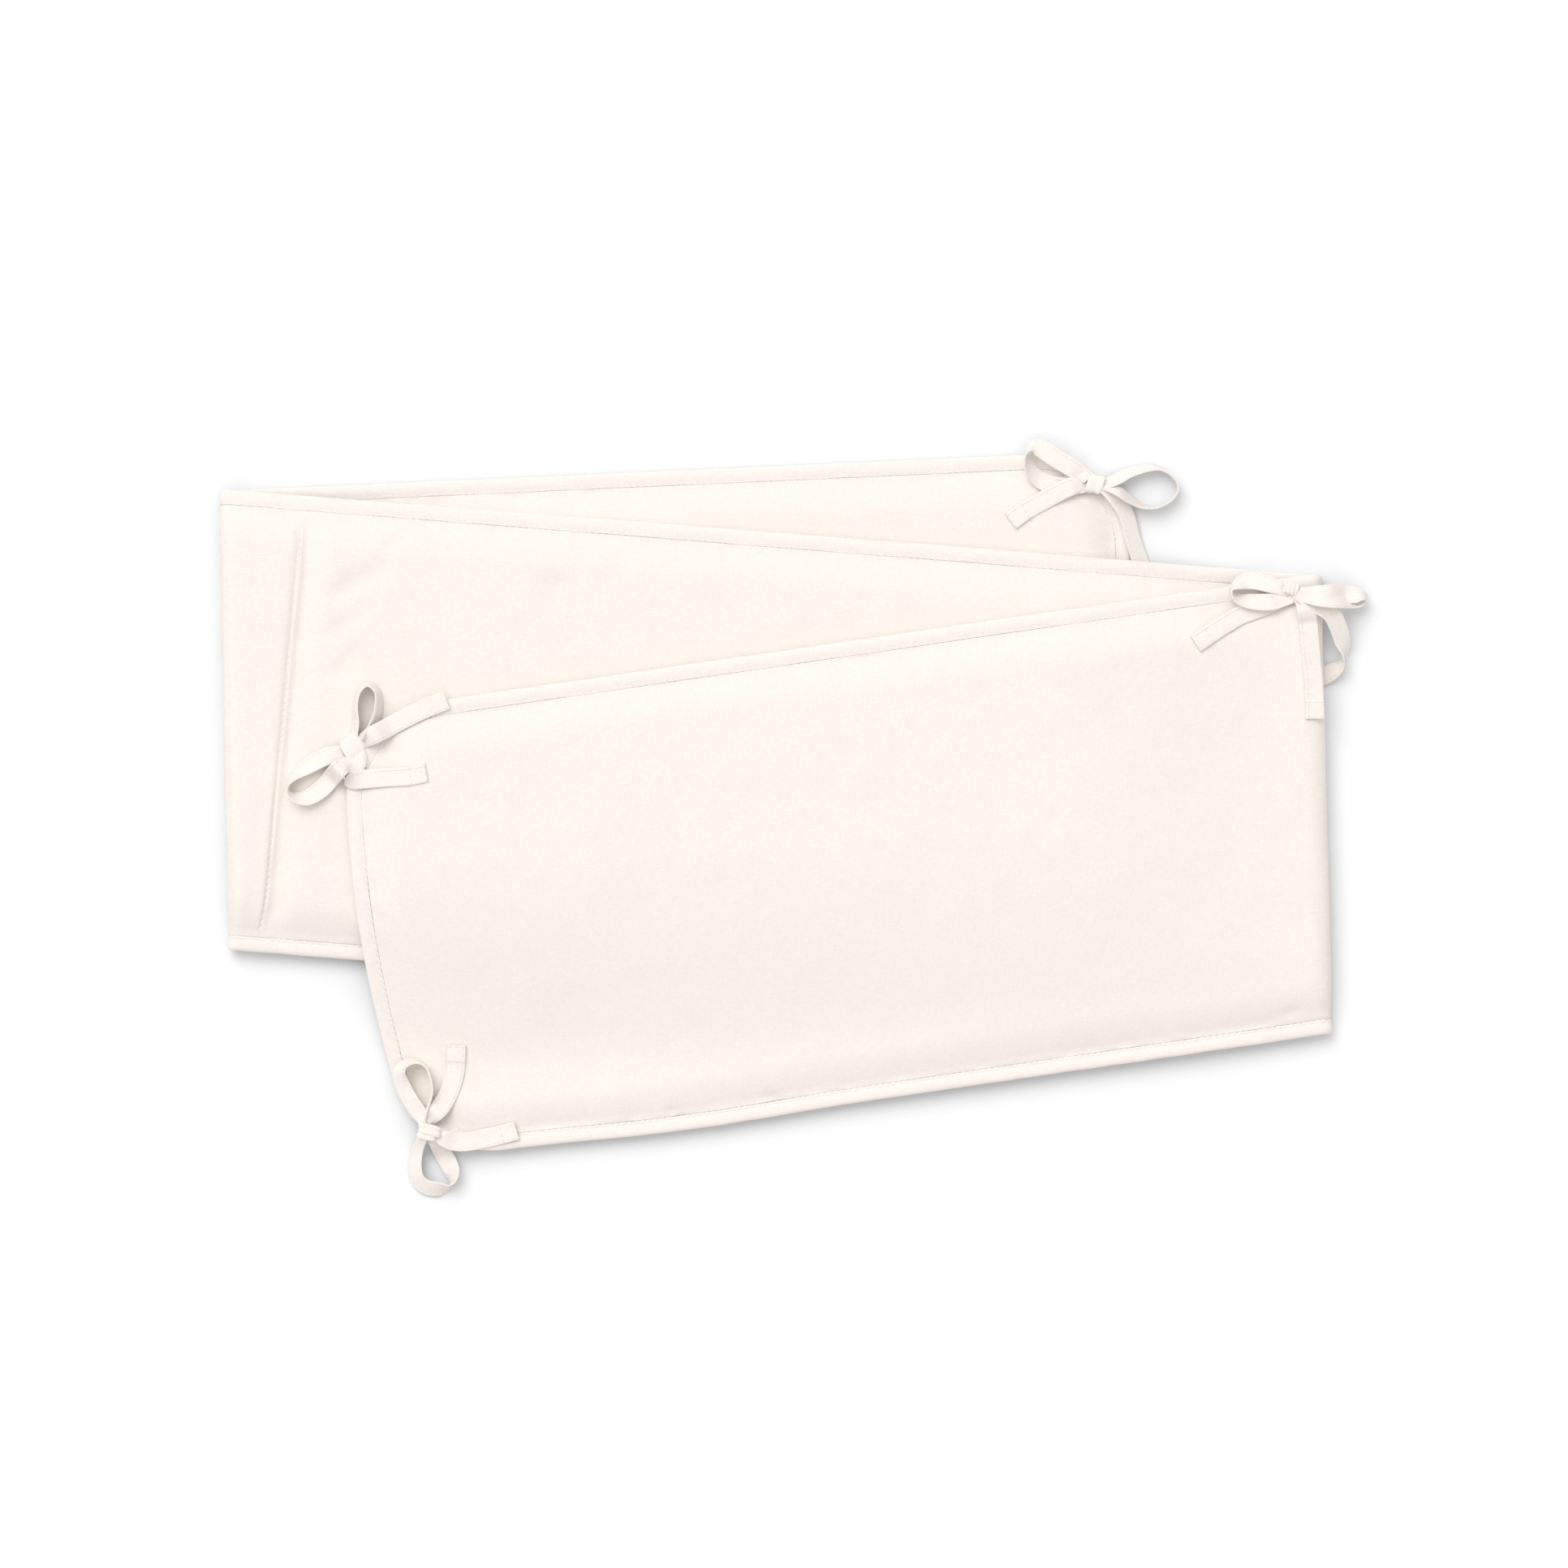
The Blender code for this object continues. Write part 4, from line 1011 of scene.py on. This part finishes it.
def make_tie(node, parts):
    """One tie from the surfaces, stitches and lengths of its tapes and bands."""
    points, faces, uv, stitches, total, base = [], [], [], [], 0.0, 0
    for (part_points, part_faces, part_uv), part_stitches, length in parts:
        points.append(part_points)
        uv.append(part_uv)
        faces += [[base + corner for corner in face] for face in part_faces]
        stitches += part_stitches
        total += length
        base += len(part_points)
    points, uv = np.concatenate(points), np.concatenate(uv)
    made = new_piece(node + "_tapes", points, faces, uv, TAPE_CLOTH, "tape")
    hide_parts(node)
    sew(node + "_stitches", stitches, "tape")


def make_bow(node, spec, ground):
    """One bow: its tapes, laid one over another, and the bands of its knot."""
    x, y, height = spec["knot"]
    under_knot = max(ground.strip_top(x + a, y + b) for a, b in KNOT_FOOT)
    knot = (x, y, under_knot + height / 2)
    hanging = {"hanging": spec["hanging"]} if "hanging" in spec else {}
    parts = []
    for k, (name, rows) in enumerate({**hanging, **spec["tapes"]}.items()):
        placed = [(x + p[0], y + p[1], p[2], p[3]) for p in rows]
        under = None if name == "hanging" else ground
        tape = tape_parts(placed, under, knot, name.endswith("tail"), seed=k + 1)
        parts.append(tape)
        points, faces, _ = tape[0]
        ground.tapes.append(BVHTree.FromPolygons(points.tolist(), faces))
    ground.tapes.clear()
    parts += [wrap_parts(knot, *wrap, seed=k + 21) for k, wrap in enumerate(spec["wraps"])]
    make_tie(node, parts)


def make_hidden_tie():
    """The fourth corner's tie, between the layers: two flat tapes."""
    parts = [
        tape_parts(rows, hemmed=True, seed=k + 31) for k, rows in enumerate(HIDDEN_TIE.values())
    ]
    make_tie("tie_hidden_corner", parts)


# ---- finishes


def new_finish(name, roughness, specular):
    """A material, its nodes and its shader's inputs."""
    made = bpy.data.materials.new(name)
    made.use_nodes = True
    shader = made.node_tree.nodes["Principled BSDF"].inputs
    shader["Roughness"].default_value = roughness
    shader["Specular IOR Level"].default_value = specular
    return made, made.node_tree, shader


def add_node(tree, kind, inputs, **settings):
    """A node with its settings, each input set to a value or linked to another node's output."""
    node = tree.nodes.new("ShaderNode" + kind)
    for name, value in settings.items():
        setattr(node, name, value)
    for key, value in inputs.items():
        if isinstance(value, bpy.types.NodeSocket):
            tree.links.new(value, node.inputs[key])
        else:
            node.inputs[key].default_value = value
    return node


def blended(tree, share, dark, light):
    """A colour between two, by another node's output."""
    inputs = {0: share, 6: (*dark, 1.0), 7: (*light, 1.0)}
    return add_node(tree, "Mix", inputs, data_type="RGBA").outputs[2]


def cloth_finish(name, colour):
    """Plain-weave cotton with uneven threads."""
    made, tree, shader = new_finish(name, 0.88, 0.25)
    shader["Sheen Weight"].default_value = 0.12
    shader["Sheen Roughness"].default_value = 0.45
    place = add_node(tree, "UVMap", {}, uv_map="cloth").outputs["UV"]

    def noise(scale_u, scale_v, detail):
        scale = {"Vector": place, "Scale": (scale_u, scale_v, 1.0)}
        spread = add_node(tree, "Mapping", scale).outputs["Vector"]
        inputs = {"Vector": spread, "Scale": 1.0, "Detail": detail}
        return add_node(tree, "TexNoise", inputs).outputs["Fac"]

    def times(a, b):
        return add_node(tree, "Math", {0: a, 1: b}, operation="MULTIPLY").outputs["Value"]

    def plus(a, b):
        return add_node(tree, "Math", {0: a, 1: b}, operation="ADD").outputs["Value"]

    warp = noise(SLUBS, 1.0 / THREAD_PITCH, 2.0)
    weft = noise(1.0 / THREAD_PITCH, SLUBS, 2.0)
    mottle = noise(MOTTLES, MOTTLES, 3.0)
    blotch = noise(BLOTCHES, BLOTCHES, 2.0)
    crossing = plus(warp, weft)
    tone = plus(plus(times(crossing, 0.34), times(mottle, 0.24)), times(blotch, 0.08))
    spread = add_node(tree, "MapRange", {"Value": tone, "From Min": 0.36, "From Max": 0.64})
    dark, light = [c * 0.955 for c in colour], [min(c * 1.03, 0.97) for c in colour]
    dark[2] *= 0.985
    base = blended(tree, spread.outputs["Result"], dark, light)
    tree.links.new(base, shader["Base Color"])
    weave = plus(crossing, times(mottle, 0.5))
    relief = {"Height": weave, "Strength": 0.55, "Distance": WEAVE_RELIEF}
    tree.links.new(add_node(tree, "Bump", relief).outputs["Normal"], shader["Normal"])
    return made


def thread_finish():
    """Cotton thread, its strands a little uneven in tone."""
    made, tree, shader = new_finish("sewing_thread", 0.6, 0.35)
    place = add_node(tree, "TexCoord", {}).outputs["Object"]
    strands = add_node(tree, "TexNoise", {"Vector": place, "Scale": STRANDS})
    ramp = add_node(tree, "ValToRGB", {"Fac": strands.outputs["Fac"]})
    ramp.color_ramp.elements[0].color = (*[c * 0.9 for c in THREAD], 1.0)
    ramp.color_ramp.elements[1].color = (*[min(c * 1.04, 0.97) for c in THREAD], 1.0)
    tree.links.new(ramp.outputs["Color"], shader["Base Color"])
    return made


COTTON_CLOTH = cloth_finish("cream_cotton", COTTON)
BINDING_CLOTH = cloth_finish("cream_binding", TAPE_COTTON)
TAPE_CLOTH = cloth_finish("cream_tape", TAPE_COTTON)
THREAD_FINISH = thread_finish()
STITCH = stitch_shape()


# ---- the studio


def make_floor():
    """White paper, with painted shadow that darkens it close to the cloth."""
    bpy.ops.mesh.primitive_plane_add(size=FLOOR_SIZE, location=(0, 0, FLOOR_LEVEL))
    floor = bpy.context.active_object
    floor.name = "floor"
    paper, tree, shader = new_finish("white_paper_painted_shadow", 0.95, 0.0)
    # painted shadow: ambient occlusion blends the floor's colour to a darker, cooler tone close to
    # the cloth
    painted_shadow = add_node(tree, "AmbientOcclusion", {"Distance": PAINTED_SHADOW_REACH}).outputs["AO"]
    tree.links.new(blended(tree, painted_shadow, FLOOR_PAINTED_SHADOW, FLOOR), shader["Base Color"])
    floor.data.materials.append(paper)


def soft_light(name, tilt, bearing, spread, share):
    """A broad, far light."""
    tilt, bearing = math.radians(tilt), math.radians(bearing)
    place = Vector((
        -math.sin(tilt) * math.sin(bearing), math.sin(tilt) * math.cos(bearing), math.cos(tilt)
    ))
    data = bpy.data.lights.new(name, "SUN")
    data.angle = math.radians(spread)
    data.energy = share * math.pi / math.cos(tilt)
    lamp = bpy.data.objects.new(name, data)
    lamp.location = place * 3.0
    lamp.rotation_euler = (-place).to_track_quat("-Z", "Y").to_euler()
    bpy.context.scene.collection.objects.link(lamp)


def make_studio():
    make_floor()
    for name, light in LIGHTS.items():
        soft_light(name, *light)
    world = bpy.data.worlds.new("studio")
    world.use_nodes = True
    background = world.node_tree.nodes["Background"]
    background.inputs["Color"].default_value = (*ROOM_LIGHT, 1.0)
    background.inputs["Strength"].default_value = ROOM_LIGHT_STRENGTH
    bpy.context.scene.world = world
    bpy.context.scene.view_settings.view_transform = "Standard"
    data = bpy.data.cameras.new("camera")
    data.lens, data.sensor_width = CAMERA_LENS, SENSOR_WIDTH
    data.clip_end = CAMERA_SIGHT
    camera = bpy.data.objects.new("camera", data)
    distance = PICTURE_WIDTH * CAMERA_LENS / SENSOR_WIDTH
    camera.location = (*PICTURE_CENTRE, CAMERA_LEVEL + distance)
    bpy.context.scene.collection.objects.link(camera)
    bpy.context.scene.camera = camera


def main():
    make_studio()
    ground = Ground([make_pad(), make_binding()])
    binding_stitches()
    cross_seam_stitches()
    for node, spec in BOWS.items():
        make_bow(node, spec, ground)
    make_hidden_tie()


main()
